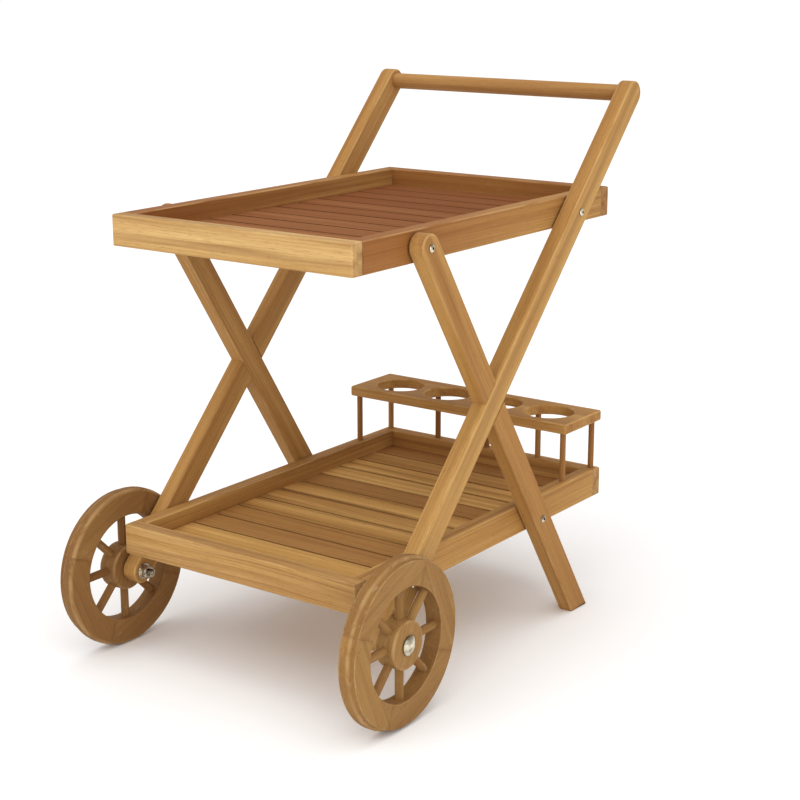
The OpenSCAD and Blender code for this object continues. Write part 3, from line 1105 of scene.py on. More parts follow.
@dataclass
class Places:
    """Where the pieces of one side meet, read from the CAD.

    Attributes:
        side: The side of the trolley.
        axle: The axle's middle, at y = 0.
        grip: The handle's middle, at y = 0.
        top: The short leg's top screw, at y = 0.
        foot: The middle of the short leg's foot, at y = 0.
        leg_width: Width of a leg, seen from the side.
        inner: Distance of the legs' inner face from the middle.
        outer: Distance of the legs' outer face from the middle.
    """

    side: Side
    axle: Vector
    grip: Vector
    top: Vector
    foot: Vector
    leg_width: float
    inner: float
    outer: float

    @classmethod
    def of(cls, side: Side, record: dict) -> "Places":
        """Reads the places of one side from the frame.

        Args:
            side: The side of the trolley.
            record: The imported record, whose mounts give the middle of the foot.

        Returns:
            The side's places.
        """
        long_low, long_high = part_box(f"long_leg_{side.word}")
        short_low, short_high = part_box(f"short_leg_{side.word}")
        bolt_low, bolt_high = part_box("axle_bolts")
        grip_low, grip_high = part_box("handle_bar")
        axle = (bolt_low + bolt_high) / 2
        grip = (grip_low + grip_high) / 2
        width = 2 * (axle.x - long_low.x)
        foot = Vector(mount(record, f"foot_{side.word}")["pos_m"])
        faces = sorted((abs(long_low.y), abs(long_high.y)))
        return cls(
            side=side,
            axle=Vector((axle.x, 0.0, axle.z)),
            grip=Vector((grip.x, 0.0, grip.z)),
            top=Vector((short_low.x + width / 2, 0.0, short_high.z - width / 2)),
            foot=Vector((foot.x, 0.0, 0.0)),
            leg_width=width,
            inner=faces[0],
            outer=faces[1],
        )


@dataclass
class CrossedLegs:
    """The long and the short leg of one side, halved into each other.

    Attributes:
        places: Where the side's pieces meet.
        arris: Radius of the long edges.
        foot_arris: Radius of the edge round the foot.
        lap_gap: Width of the joint line at the halving.
        overrun: How far a cut runs past a leg's face.
        end_steps: Number of straight pieces in a round end.
        tones: Tone of the long and of the short leg.
    """

    places: Places
    arris: float = 3.2 * MM
    foot_arris: float = 1.5 * MM
    lap_gap: float = 0.15 * MM
    overrun: float = 1 * MM
    end_steps: int = 28
    tones: tuple[float, float] = (0.16, 0.22)

    def _round_end(self, centre: Vector, along: Vector) -> Outline:
        """Half a circle round a leg's end, counter-clockwise, open towards -along."""
        start = math.atan2(along.z, along.x) - math.pi / 2
        radius = self.places.leg_width / 2
        turns = [start + math.pi * k / self.end_steps for k in range(self.end_steps + 1)]
        return [(centre.x + radius * math.cos(t), centre.z + radius * math.sin(t), 0.0) for t in turns]

    def _long_outline(self) -> Outline:
        """The long leg's outline in X and Z, round at both ends."""
        along = (self.places.grip - self.places.axle).normalized()
        return self._round_end(self.places.grip, along) + self._round_end(self.places.axle, -along)

    def _short_outline(self) -> Outline:
        """The short leg's outline in X and Z, round above and cut flat at the floor."""
        along = (self.places.top - self.places.foot).normalized()
        reach = self.places.leg_width / 2 / along.z
        head = self._round_end(self.places.top, along)
        left, right = self.places.foot.x - reach, self.places.foot.x + reach
        corners = [
            (head[-1][0], head[-1][1], 0.0),
            (left, 0.0, self.foot_arris),
            (right, 0.0, self.foot_arris),
            (head[0][0], head[0][1], 0.0),
        ]
        foot = rounded(corners, 3)
        return head + foot[1:-1]

    def _put(self) -> Callable[[float, float, float], Vector]:
        """Maps X, Z and the distance from the middle to a point on this side."""
        sign = self.places.side.value
        return lambda x, z, away: Vector((x, sign * away, z))

    def _leg(self, name: str, outline: Outline, grain: Grain, material: bpy.types.Material) -> Joinery:
        """A whole leg before it is halved."""
        work = Joinery(name, material)
        layers = extruded(outline, self.places.inner, self.places.outer, self.arris, self.arris)
        put = self._put()
        rings = [[put(x, z, layer.height) for x, z, _ in layer.outline] for layer in layers]

        def end(_: int, j: int) -> float:
            """End grain weight from the outline's direction."""
            ahead = Vector((outline[(j + 1) % len(outline)][0], 0.0, outline[(j + 1) % len(outline)][1]))
            back = Vector((outline[j - 1][0], 0.0, outline[j - 1][1]))
            return max(0.0, 1.0 - 1.4 * abs((ahead - back).normalized().dot(grain.along)))

        work.shell(rings, grain, lambda i, j: max(layers[i].arris, outline[j][2]), end)
        return work

    def _cutter(self, outline: Outline, low: float, high: float) -> bpy.types.Object:
        """A block of an outline that halves the other leg."""
        work = Joinery("Halving cutter", bpy.data.materials[0])
        put = self._put()
        grain = Grain(Vector(), Vector((1, 0, 0)), Vector((0, 0, 1)), 0.0, 0.0)
        work.layers(extruded(inset(outline, -self.lap_gap), low, high, 0.0, 0.0), put, grain)
        cutter = bpy.data.objects.new("Halving cutter", work.mesh())
        bpy.context.collection.objects.link(cutter)
        return cutter

    def _halved(self, work: Joinery, cutter: bpy.types.Object, grain: Grain) -> bpy.types.Object:
        """Cuts the halving out of a leg and writes its grain again."""
        leg = bpy.data.objects.new(work.name, work.mesh())
        bpy.context.collection.objects.link(leg)
        cut = leg.modifiers.new("Halving", "BOOLEAN")
        cut.operation, cut.solver, cut.object = "DIFFERENCE", "EXACT", cutter
        plain(leg)
        bpy.data.objects.remove(cutter)
        tree = KDTree(len(work.points))
        for i, point in enumerate(work.points):
            tree.insert(point, i)
        tree.balance()
        for name in ("grain_pos", "board", "tone", "edge", "end_grain"):
            if name in leg.data.attributes:
                leg.data.attributes.remove(leg.data.attributes[name])
        rows = []
        for vertex in leg.data.vertices:
            _, nearest, distance = tree.find(vertex.co)
            known = work.rows[nearest] if distance < SAME_POINT else (None, 0.0, 0.0, 0.0, 0.0)
            rows.append((grain.place(vertex.co), grain.board, grain.tone, known[3], known[4]))
        stamp(leg.data, rows)
        return smoothed(leg)

    def build(self, palette: Palette) -> list[bpy.types.Object]:
        """Makes both legs and hands them over."""
        place, side = self.places, self.places.side
        lap = (place.inner + place.outer) / 2
        outlines = {"long": self._long_outline(), "short": self._short_outline()}
        ends = {"long": (place.axle, place.grip), "short": (place.foot, place.top)}
        cuts = {
            "long": ("short", place.inner - self.overrun, lap + self.lap_gap / 2),
            "short": ("long", lap - self.lap_gap / 2, place.outer + self.overrun),
        }
        legs = []
        for number, (kind, (other, low, high)) in enumerate(cuts.items()):
            start, finish = ends[kind]
            along = (finish - start).normalized()
            middle = (start + finish) / 2 + Vector((0.0, side.value * lap, 0.0))
            board = 3.7 + 5.3 * number + 2.9 * side.value
            grain = Grain(middle, along, Vector((0, 1, 0)).cross(along), board, self.tones[number])
            work = self._leg(f"{kind}_leg_{side.word}.teak", outlines[kind], grain, palette.legs)
            leg = self._halved(work, self._cutter(outlines[other], low, high), grain)
            legs.append(hand_over(leg, "frame", "teak_frame", f"{kind}_leg_{side.word}"))
        return legs


@dataclass
class PushHandle:
    """The round bar between the tops of the long legs.

    Attributes:
        end_round: Radius of the edge at the bar's ends.
        steps: Number of points round the bar.
    """

    end_round: float = 1.0 * MM
    steps: int = 56

    def build(self, palette: Palette) -> bpy.types.Object:
        """Makes the bar and hands it over."""
        low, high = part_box("handle_bar")
        middle, radius = (low + high) / 2, (high.x - low.x) / 2
        work = Joinery("handle_bar.teak", palette.dowels)
        grain = Grain(middle, Vector((0, 1, 0)), Vector((1, 0, 0)), 21.3, 0.32)
        layers = extruded(circle(radius, self.steps), low.y, high.y, self.end_round, self.end_round, 2)
        work.layers(layers, lambda x, z, y: Vector((middle.x + z, y, middle.z + x)), grain)
        return hand_over(work.piece(), "frame", "teak_frame", "handle_bar")


@dataclass
class Tray:
    """One tray: four rails, two ledgers and a floor of slats.

    Attributes:
        level: The tray's name in the CAD, upper or lower.
        material: The slats' finish.
        slot: Name of the slats' material slot; it is not used.
        tones: Tones of the front, back, left and right rail.
        slat_tones: Lowest and highest tone of the slats.
        seed: Picks the boards.
        slat_drift: How much redder each slat is than the one before it.
        side_fade: How much redder the side rails get towards the back, for each metre.
        arris: Radius of the rails' edges.
        butt: Radius at the side rails' ends.
        ledger_arris: Radius of the ledgers' edges.
        ledger_tone: Tone of the ledgers.
        slat_round: Radius of the slats' long edges.
        slat_count: Number of slats.
    """

    level: str
    material: bpy.types.Material
    slot: str
    tones: tuple[float, float, float, float]
    slat_tones: tuple[float, float]
    seed: int
    slat_drift: float = 0.0
    side_fade: float = 0.0
    arris: float = 2.4 * MM
    butt: float = 0.25 * MM
    ledger_arris: float = 0.8 * MM
    ledger_tone: float = 0.4
    slat_round: float = 1.1 * MM
    slat_count: int = 12

    def _rails(self, palette: Palette) -> list[bpy.types.Object]:
        """The four rails, the front and back ones over the ends of the side ones."""
        rails = []
        kinds = (
            ("front", Axis.Y, self.arris),
            ("back", Axis.Y, self.arris),
            ("left", Axis.X, self.butt),
            ("right", Axis.X, self.butt),
        )
        for number, (place, axis, ends) in enumerate(kinds):
            node = f"{self.level}_{place}_rail"
            low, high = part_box(node)
            work = Joinery(f"{node}.teak", palette.front_rails if place == "front" else palette.rails)
            fade = self.side_fade if axis is Axis.X else 0.0
            board = self.seed * 3.1 + number * 7.7
            work.board(low, high, axis, self.arris, ends, board, self.tones[number], fade)
            rails.append(hand_over(work.piece(), "frame", "teak_frame", node))
        return rails

    def _ledgers(self, palette: Palette) -> bpy.types.Object:
        """The two ledgers that carry the slat ends."""
        work = Joinery(f"{self.level}_ledgers.teak", palette.rails)
        nodes = [f"{self.level}_{side.word}_ledger" for side in Side]
        for number, node in enumerate(nodes):
            low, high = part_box(node)
            board = self.seed + number * 4.3
            work.board(low, high, Axis.X, self.ledger_arris, self.butt, board, self.ledger_tone)
        return hand_over(work.piece(), "frame", "teak_frame", *nodes)

    def _floor(self, patterns: Patterns) -> bpy.types.Object:
        """The slats, made by the slat floor tree."""
        nodes = [f"{self.level}_slat_{i:02d}" for i in range(1, self.slat_count + 1)]
        first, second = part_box(nodes[0]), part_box(nodes[1])
        size = first[1] - first[0]
        floor = patterns.run(
            f"{self.level}_slats.teak",
            patterns.slats,
            {
                "First Slat": (first[0] + first[1]) / 2,
                "Slat Count": self.slat_count,
                "Pitch": second[0].x - first[0].x,
                "Length": size.y,
                "Width": size.x,
                "Thickness": size.z,
                "Rounding": self.slat_round,
                "Tone Low": self.slat_tones[0],
                "Tone High": self.slat_tones[1],
                "Tone Drift": self.slat_drift,
                "Seed": self.seed,
                "Material": self.material,
            },
        )
        add_edge_weights(floor, first[0].z, first[1].z, self.slat_round)
        return hand_over(floor, "frame", self.slot, *nodes)

    def build(self, palette: Palette, patterns: Patterns) -> list[bpy.types.Object]:
        """Makes the whole tray."""
        return [*self._rails(palette), self._ledgers(palette), self._floor(patterns)]


@dataclass
class BottleRack:
    """The plank with four bottle holes and the dowels that carry it.

    Attributes:
        arris: Radius of the plank's and the holes' edges.
        corner_round: Radius of the plank's corners, seen from above.
        wear_inset: Height left unworn at either side of an edge's rounding.
        end_depth: Distance from the plank's ends that shows end grain.
        hole_count: Number of bottle holes.
        hole_steps: Number of points round a hole.
        post_steps: Number of points round a post.
        post_tones: Lowest and highest tone of the posts.
    """

    arris: float = 3.2 * MM
    corner_round: float = 3.5 * MM
    wear_inset: float = 0.1 * MM
    end_depth: float = 0.4 * MM
    hole_count: int = 4
    hole_steps: int = 96
    post_steps: int = 28
    post_tones: tuple[float, float] = (0.25, 0.75)

    def _plank(self, palette: Palette, record: dict) -> bpy.types.Object:
        """The plank, a flat filled curve with rounded edges turned into a mesh."""
        low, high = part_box("rack_plank")
        holes = [mount(record, f"bottle_hole_{i}") for i in range(1, self.hole_count + 1)]
        middle = (low + high) / 2
        corners = ((low.x, low.y), (high.x, low.y), (high.x, high.y), (low.x, high.y))
        outer = rounded([(x, y, self.corner_round) for x, y in corners])
        loops = [[(x, y) for x, y, _ in outer]]
        for hole in holes:
            centre, radius = Vector(hole["pos_m"]), hole["dims"]["r_mm"] * MM
            ring = circle(radius, self.hole_steps)
            loops.append([(centre.x + x, centre.y + y) for x, y, _ in reversed(ring)])
        curve = bpy.data.curves.new("rack_plank.teak", "CURVE")
        curve.dimensions, curve.fill_mode = "2D", "BOTH"
        curve.extrude = (high.z - low.z) / 2 - self.arris
        curve.bevel_depth, curve.bevel_resolution, curve.offset = self.arris, 2, -self.arris
        for loop in loops:
            spline = curve.splines.new("POLY")
            spline.points.add(len(loop) - 1)
            for point, (x, y) in zip(spline.points, loop, strict=True):
                point.co = (x, y, 0.0, 1.0)
            spline.use_cyclic_u = True
        flat = bpy.data.objects.new("Plank outline", curve)
        bpy.context.collection.objects.link(flat)
        bpy.context.view_layer.update()
        graph = bpy.context.evaluated_depsgraph_get()
        mesh = bpy.data.meshes.new_from_object(flat.evaluated_get(graph), depsgraph=graph)
        bpy.data.objects.remove(flat)
        work = bmesh.new()
        work.from_mesh(mesh)
        bmesh.ops.remove_doubles(work, verts=work.verts, dist=WELD)
        bmesh.ops.dissolve_degenerate(work, edges=work.edges, dist=WELD / 2)
        bmesh.ops.recalc_face_normals(work, faces=work.faces)
        bmesh.ops.translate(work, verts=work.verts, vec=(0.0, 0.0, middle.z))
        work.to_mesh(mesh)
        work.free()
        mesh.materials.clear()
        mesh.materials.append(palette.rack)
        grain = Grain(middle, Vector((0, 1, 0)), Vector((1, 0, 0)), 12.6, 0.2)
        rows = []
        for vertex in mesh.vertices:
            inside = min(vertex.co.z - low.z, high.z - vertex.co.z)
            on_arris = self.wear_inset < inside < self.arris - self.wear_inset
            at_end = 1.0 if abs(vertex.co.y - middle.y) > (high.y - low.y) / 2 - self.end_depth else 0.0
            rows.append((grain.place(vertex.co), grain.board, grain.tone, 1.0 if on_arris else 0.0, at_end))
        stamp(mesh, rows)
        plank = bpy.data.objects.new("rack_plank.teak", mesh)
        bpy.context.collection.objects.link(plank)
        return hand_over(smoothed(plank), "frame", "teak_frame", "rack_plank")

    def _posts(self, palette: Palette, patterns: Patterns) -> bpy.types.Object:
        """The dowels between the lower tray and the plank, at the places of the CAD's posts."""
        low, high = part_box("rack_posts")
        post = Joinery("Rack post", palette.dowels)
        grain = Grain(Vector(), Vector((0, 0, 1)), Vector((1, 0, 0)), 0.0, 0.0)
        radius = self._post_radius()
        layers = extruded(circle(radius, self.post_steps), low.z, high.z, 0.0, 0.0)
        post.layers(layers, lambda x, y, z: Vector((x, y, z)), grain)
        part = post.piece()
        for name in ("board", "tone"):
            part.data.attributes.remove(part.data.attributes[name])
        first, last = low.y + radius, high.y - radius
        row = [first + (last - first) * k / self.hole_count for k in range(self.hole_count + 1)]
        back = [Vector((high.x - radius, y, 0.0)) for y in row]
        front = [Vector((low.x + radius, y, 0.0)) for y in (first, last)]
        posts = patterns.run(
            "rack_posts.teak",
            patterns.copies,
            {
                "Part": part,
                "Turn": Vector(),
                "Tone Low": self.post_tones[0],
                "Tone High": self.post_tones[1],
                "Seed": 8,
                "Material": palette.dowels,
            },
            back + front,
        )
        bpy.data.objects.remove(part)
        return hand_over(posts, "frame", "teak_frame", "rack_posts")

    @staticmethod
    def _post_radius() -> float:
        """The posts' radius: their row stands on the middle line of the back rail."""
        rail_low, rail_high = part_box("lower_back_rail")
        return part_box("rack_posts")[1].x - (rail_low.x + rail_high.x) / 2

    def build(self, palette: Palette, patterns: Patterns, record: dict) -> list[bpy.types.Object]:
        """Makes the plank and its posts."""
        return [self._plank(palette, record), self._posts(palette, patterns)]


@dataclass
class SpokedWheel:
    """One wheel: a turned hub, eight dowel spokes and a rim of four felloes.

    Attributes:
        places: Where the side's pieces meet.
        tones: Tones of the four felloes, the hub and the spokes.
        rim_width: Width of the rim from its inner edge to the tread.
        tread_width: Width of the tread up to the step.
        tread_step: Height of the step beside the outer face.
        tread_round: Radius of the tread's edges.
        face_round: Radius of the edges beside the step and round the openings.
        step_round: Radius of the corner inside the step.
        hub_round: Radius of the hub's edges.
        bore: Radius of the hub's bore.
        bore_round: Radius of the edges at the bore.
        spoke_diameter: Diameter of a spoke.
        spoke_count: Number of spokes.
        spoke_tones: How far the spokes' tones lie below and above their own tone.
        socket: Depth of a spoke's sockets.
        seam: Width of the line between two felloes.
        arc_steps: Number of steps round one felloe.
        section_steps: Number of steps in each rounding of the rim's section.
        hub_steps: Number of points round the hub.
        felloe_nodes: The CAD's names of the felloes.
    """

    places: Places
    tones: tuple[float, ...]
    rim_width: float = 42 * MM
    tread_width: float = 20 * MM
    tread_step: float = 4.5 * MM
    tread_round: float = 6 * MM
    face_round: float = 1.4 * MM
    step_round: float = 0.5 * MM
    hub_round: float = 4 * MM
    bore: float = 6.05 * MM
    bore_round: float = 0.4 * MM
    spoke_diameter: float = 13 * MM
    spoke_count: int = 8
    spoke_tones: tuple[float, float] = (-0.25, 0.35)
    socket: float = 12 * MM
    seam: float = 0.2 * MM
    arc_steps: int = 30
    section_steps: int = 5
    hub_steps: int = 72
    felloe_nodes: list[str] = field(init=False)

    def __post_init__(self) -> None:
        """Reads the wheel's own box from the CAD."""
        word = self.places.side.word
        self.body = f"wheel_{word}"
        self.felloe_nodes = [f"wheel_{word}_felloe_{i:02d}" for i in range(1, 5)]
        rim_low, rim_high = span(*self.felloe_nodes)
        hub_low, hub_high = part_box(f"wheel_{word}_hub")
        self.radius = (rim_high.x - rim_low.x) / 2
        self.rim_faces = sorted((abs(rim_low.y), abs(rim_high.y)))
        self.hub_faces = sorted((abs(hub_low.y), abs(hub_high.y)))
        self.hub_radius = (hub_high.x - hub_low.x) / 2

    def _at(self, radius: float, away: float, turn: float) -> Vector:
        """A point at a radius, a distance from the trolley's middle and a turn about the axle."""
        sign = self.places.side.value
        axle = self.places.axle
        return Vector((axle.x + radius * math.cos(turn), sign * away, axle.z + radius * math.sin(turn)))

    def _rim_section(self) -> Outline:
        """The rim's section in radius and distance from the inner face."""
        inner, thick = self.radius - self.rim_width, self.rim_faces[1] - self.rim_faces[0]
        step = self.radius - self.tread_step
        face = self.face_round
        return rounded(
            [
                (inner, 0.0, face),
                (self.radius, 0.0, self.tread_round),
                (self.radius, self.tread_width, self.tread_round),
                (step, self.tread_width, self.step_round),
                (step, thick, face),
                (inner, thick, face),
            ],
            self.section_steps,
        )

    def _end_grain(self, i: int, j: int) -> float:
        """How much end grain a felloe shows: at its seams, and where its grain runs out at the tread and bore."""
        if i in (0, self.arc_steps):
            return 0.6
        corner, step = divmod(j, self.section_steps + 1)
        turned = step / self.section_steps
        curved = turned if corner % 2 else 1.0 - turned
        return curved * (0.35 + 0.6 * abs(math.sin(math.pi / 2 * (i / self.arc_steps - 0.5))))

    def _felloes(self, palette: Palette) -> bpy.types.Object:
        """The four felloes, each with its grain along its own chord."""
        work = Joinery(f"{self.body}_rim.teak", palette.wheels)
        section = self._rim_section()
        quarter = math.pi / 2
        for number in range(4):
            start = number * quarter - math.pi / self.spoke_count
            start, stop = start + self.seam / 2 / self.radius, start + quarter - self.seam / 2 / self.radius
            turns = [start + (stop - start) * k / self.arc_steps for k in range(self.arc_steps + 1)]
            rings = [[self._at(r, self.rim_faces[0] + h, t) for r, h, _ in section] for t in turns]
            middle = (start + stop) / 2
            origin = self._at(self.radius - self.rim_width / 2, self.rim_faces[0], middle)
            along = Vector((-math.sin(middle), 0.0, math.cos(middle)))
            across = Vector((math.cos(middle), 0.0, math.sin(middle)))
            board = 2.3 + number * 6.1 + self.places.side.value * 1.7
            grain = Grain(origin, along, across, board, self.tones[number])
            work.shell(rings, grain, lambda i, j: section[j][2], self._end_grain)
        return hand_over(work.piece(), self.body, "teak_wheels", *self.felloe_nodes)

    def _hub(self, palette: Palette) -> bpy.types.Object:
        """The hub, turned with rounded edges and bored for the axle."""
        thick = self.hub_faces[1] - self.hub_faces[0]
        section = rounded(
            [
                (self.bore, 0.0, self.bore_round),
                (self.hub_radius, 0.0, self.hub_round),
                (self.hub_radius, thick, self.hub_round),
                (self.bore, thick, self.bore_round),
            ],
            6,
        )
        work = Joinery(f"{self.body}_hub.teak", palette.wheels)
        turns = [2 * math.pi * k / self.hub_steps for k in range(self.hub_steps)]
        rings = [[self._at(r, self.hub_faces[0] + h, t) for r, h, _ in section] for t in turns]
        origin = self.places.axle + Vector((0.0, self.places.side.value * self.hub_faces[0], 0.0))
        along, across = Vector((0.35, 0.0, 0.94)).normalized(), Vector((0.94, 0.0, -0.35)).normalized()
        grain = Grain(origin, along, across, 17.9, self.tones[4])
        work.shell(rings, grain, lambda i, j: section[j][2], lambda i, j: 0.0, closed=True)
        return hand_over(work.piece(), self.body, "teak_wheels", f"{self.body}_hub")

    def _spokes(self, palette: Palette, patterns: Patterns) -> bpy.types.Object:
        """The spokes, made by the spoke star tree."""
        middle = self.places.side.value * sum(self.hub_faces) / 2
        spokes = patterns.run(
            f"{self.body}_spokes.teak",
            patterns.spokes,
            {
                "Axle": self.places.axle + Vector((0.0, middle, 0.0)),
                "Spoke Count": self.spoke_count,
                "Inner Radius": self.hub_radius - self.socket,
                "Outer Radius": self.radius - self.rim_width + self.socket,
                "Diameter": self.spoke_diameter,
                "Tone Low": self.tones[5] + self.spoke_tones[0],
                "Tone High": self.tones[5] + self.spoke_tones[1],
                "Seed": 5 + self.places.side.value,
                "Material": palette.wheels,
            },
        )
        return hand_over(spokes, self.body, "teak_wheels", f"{self.body}_spokes")

    def build(self, palette: Palette, patterns: Patterns) -> list[bpy.types.Object]:
        """Makes the whole wheel."""
        return [self._felloes(palette), self._hub(palette), self._spokes(palette, patterns)]


@dataclass
class Fittings:
    """Axle bolts, washers, nuts, leg screws and spacers.

    Attributes:
        sides: The places of both sides.
        steps: Number of points round a turned part.
        bolt: Radius of an axle bolt's shank.
        blunt: Bevel at the bolt's end.
        head_gap: Gap between the hub and a bolt's head.
        chamfer: Chamfer of a bolt's head and of a spacer.
        thread_pitch: Pitch of the bolt's thread.
        thread_depth: Depth of the thread.
        tail: Length of thread past the nut.
        washer: Radius of an axle washer.
        washer_thickness: Thickness of an axle washer.
        washer_chamfer: Chamfer of an axle washer.
        washer_gap: Gap between a washer and the bolt.
        nut_flats: Width of a nut across its flats.
        nut_height: Height of a nut.
        nut_bevel: Height of the bevels at a nut's ends.
        key: Width across the flats of a screw's socket.
        lip: Width of the flat round a screw's socket.
        head: Radius of a screw's head.
        head_rise: Height of a screw's head.
        shank: Radius of a screw's shank.
        screw_bevel: Bevel at a screw's end.
        bite: Length of a screw inside the rail.
        spacer: Radius of a spacer ring.
        spacer_bore: Radius of a spacer's hole.
        spacer_thickness: Thickness of a spacer ring.
    """

    sides: list[Places]
    steps: int = 48
    bolt: float = 6 * MM
    blunt: float = 1.2 * MM
    head_gap: float = 0.3 * MM
    chamfer: float = 0.3 * MM
    thread_pitch: float = 1.75 * MM
    thread_depth: float = 0.75 * MM
    tail: float = 8 * MM
    washer: float = 13 * MM
    washer_thickness: float = 2.5 * MM
    washer_chamfer: float = 0.4 * MM
    washer_gap: float = 0.2 * MM
    nut_flats: float = 19 * MM
    nut_height: float = 10 * MM
    nut_bevel: float = 1.3 * MM
    key: float = 4 * MM
    lip: float = 0.35 * MM
    head: float = 6.25 * MM
    head_rise: float = 3.5 * MM
    shank: float = 3 * MM
    screw_bevel: float = 0.5 * MM
    bite: float = 18 * MM
    spacer: float = 10 * MM
    spacer_bore: float = 3.2 * MM
    spacer_thickness: float = 3 * MM

    def _rings(self, profile: Sequence[tuple[float, float]]) -> list[Ring]:
        """Rings round +Z from the radius and height of each."""
        return [[Vector((x, y, z)) for x, y, _ in circle(max(r, 0.02 * MM), self.steps)] for r, z in profile]

    def _hexagon(self, flats: float, z: float, limit: float = 1.0) -> Ring:
        """A hexagon's ring of as many points as a circle's, cut back to a limiting radius."""
        ring = []
        for k in range(self.steps):
            turn = 2 * math.pi * k / self.steps
            folded = (turn + math.pi / 6) % (math.pi / 3) - math.pi / 6
            radius = min(flats / 2 / math.cos(folded), limit)
            ring.append(Vector((radius * math.cos(turn), radius * math.sin(turn), z)))
        return ring

    @staticmethod
    def _dome(radius: float, rise: float, inner: float, steps: int = 10) -> list[tuple[float, float]]:
        """Radius and height of a dome's rings from its rim to an inner radius."""
        edge = rise / 4
        high = rise - edge
        ball = (radius**2 + high**2) / (2 * high)
        radii = [radius - (radius - inner) * k / steps for k in range(steps + 1)]
        return [(r, edge + math.sqrt(ball**2 - r**2) - (ball - high)) for r in radii]

    @staticmethod
    def _part(
        name: str,
        rings: Sequence[Ring],
        material: bpy.types.Material,
        hollow: bool = False,
        grime: Callable[[int], float] = lambda i: 0.0,
    ) -> bpy.types.Object:
        """A part stretched over rings, with its axis on the Z axis.

        Args:
            name: The part's name.
            rings: The rings, from the bottom to the top.
            material: The part's finish.
            hollow: Whether the rings close on themselves round a hole.
            grime: How much tarnish and painted shade each ring holds.

        Returns:
            The part.
        """
        work = Joinery(name, material)
        grain = Grain(Vector(), Vector((0, 0, 1)), Vector((1, 0, 0)), 0.0, 0.0)
        work.shell(rings, grain, lambda i, j: grime(i), lambda i, j: 0.0, closed=hollow)
        return work.piece()

    def _flat_ring(
        self, name: str, bore: float, radius: float, thickness: float, chamfer: float, material: bpy.types.Material
    ) -> bpy.types.Object:
        """A flat ring that stands on the floor, with its outer edges broken."""
        profile = [
            (bore, 0.0),
            (radius - chamfer, 0.0),
            (radius, chamfer),
            (radius, thickness - chamfer),
            (radius - chamfer, thickness),
            (bore, thickness),
        ]
        return self._part(name, self._rings(profile), material, hollow=True)

    @staticmethod
    def _copies(
        patterns: Patterns,
        name: str,
        part: bpy.types.Object,
        at: dict[Side, list[Vector]],
        material: bpy.types.Material,
    ) -> bpy.types.Object:
        """Copies a part that points along +Z to both sides, pointing outwards, and hands it over as one piece.

        Args:
            patterns: The shared geometry trees.
            name: The CAD's name of the node that the piece stands for.
            part: The part, which is used up.
            at: The points of each side.
            material: The part's finish.

        Returns:
            The piece.
        """
        halves = []
        for side, points in at.items():
            turn = Vector((-side.value * math.pi / 2, 0.0, 0.0))
            values = {"Part": part, "Turn": turn, "Seed": 3, "Material": material}
            halves.append(patterns.run(f"{name}.steel {side.word}", patterns.copies, values, points))
        work = bmesh.new()
        for half in halves:
            work.from_mesh(half.data)
        mesh = bpy.data.meshes.new(f"{name}.steel")
        work.to_mesh(mesh)
        work.free()
        mesh.materials.append(material)
        for half in (*halves, part):
            bpy.data.objects.remove(half)
        made = bpy.data.objects.new(f"{name}.steel", mesh)
        bpy.context.collection.objects.link(made)
        return hand_over(smoothed(made), "frame", "steel_fittings", name)

    def _on_axles(self, *levels: float) -> dict[Side, list[Vector]]:
        """Points on both axles, at distances from the middle of the trolley."""
        return {p.side: [Vector((p.axle.x, p.side.value * y, p.axle.z)) for y in levels] for p in self.sides}

    def _on_legs(self, level: float) -> dict[Side, list[Vector]]:
        """Where the legs are screwed to the middle of the tray rails' height, at a distance from the middle."""
        at = {}
        for place in self.sides:
            rails = [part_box(f"{tray}_{place.side.word}_rail") for tray in ("upper", "lower")]
            points = []
            for start, finish in ((place.axle, place.grip), (place.foot, place.top)):
                for low, high in rails:
                    share = ((low.z + high.z) / 2 - start.z) / (finish.z - start.z)
                    points.append(start + (finish - start) * share + Vector((0.0, place.side.value * level, 0.0)))
            at[place.side] = points
        return at

    def _bolts(self, palette: Palette, patterns: Patterns) -> bpy.types.Object:
        """Axle bolts with domed heads and threaded tails."""
        low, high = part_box("axle_bolts")
        hub_low, hub_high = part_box("wheel_left_hub")
        head_y = max(abs(hub_low.y), abs(hub_high.y)) + self.head_gap
        head_radius = (high.x - low.x) / 2
        nut_outer = self.sides[0].inner - self.washer_thickness
        tail = nut_outer - self.nut_height - self.tail
        profile = [(0.0, tail), (self.bolt - self.blunt, tail), (self.bolt, tail + self.blunt)]
        level = tail + self.blunt + 0.2 * MM
        while level < nut_outer - 1 * MM:
            profile += [(self.bolt, level), (self.bolt - self.thread_depth, level + self.thread_pitch / 2)]
            level += self.thread_pitch
        profile += [(self.bolt, level), (self.bolt, head_y)]
        profile += [(head_radius - self.chamfer, head_y), (head_radius, head_y + self.chamfer)]
        profile += [(r, head_y + z) for r, z in self._dome(head_radius, high.y - head_y, 0.0)]
        # The dome's outer rim is darkened: tarnish and painted shade where the head sits on the hub.
        rim = head_radius * 0.92
        bolt = self._part(
            "Axle bolt",
            self._rings(profile),
            palette.bright_steel,
            grime=lambda i: 1.0 if profile[i][0] > rim and profile[i][1] >= head_y else 0.0,
        )
        return self._copies(patterns, "axle_bolts", bolt, self._on_axles(0.0), palette.bright_steel)

    def _washers(self, palette: Palette, patterns: Patterns) -> bpy.types.Object:
        """A washer on each face of each wheel's run along its bolt."""
        bore = self.bolt + self.washer_gap
        washer = self._flat_ring(
            "Washer", bore, self.washer, self.washer_thickness, self.washer_chamfer, palette.zinc
        )
        place = self.sides[0]
        at = self._on_axles(place.inner - self.washer_thickness, place.outer)
        return self._copies(patterns, "axle_washers", washer, at, palette.zinc)

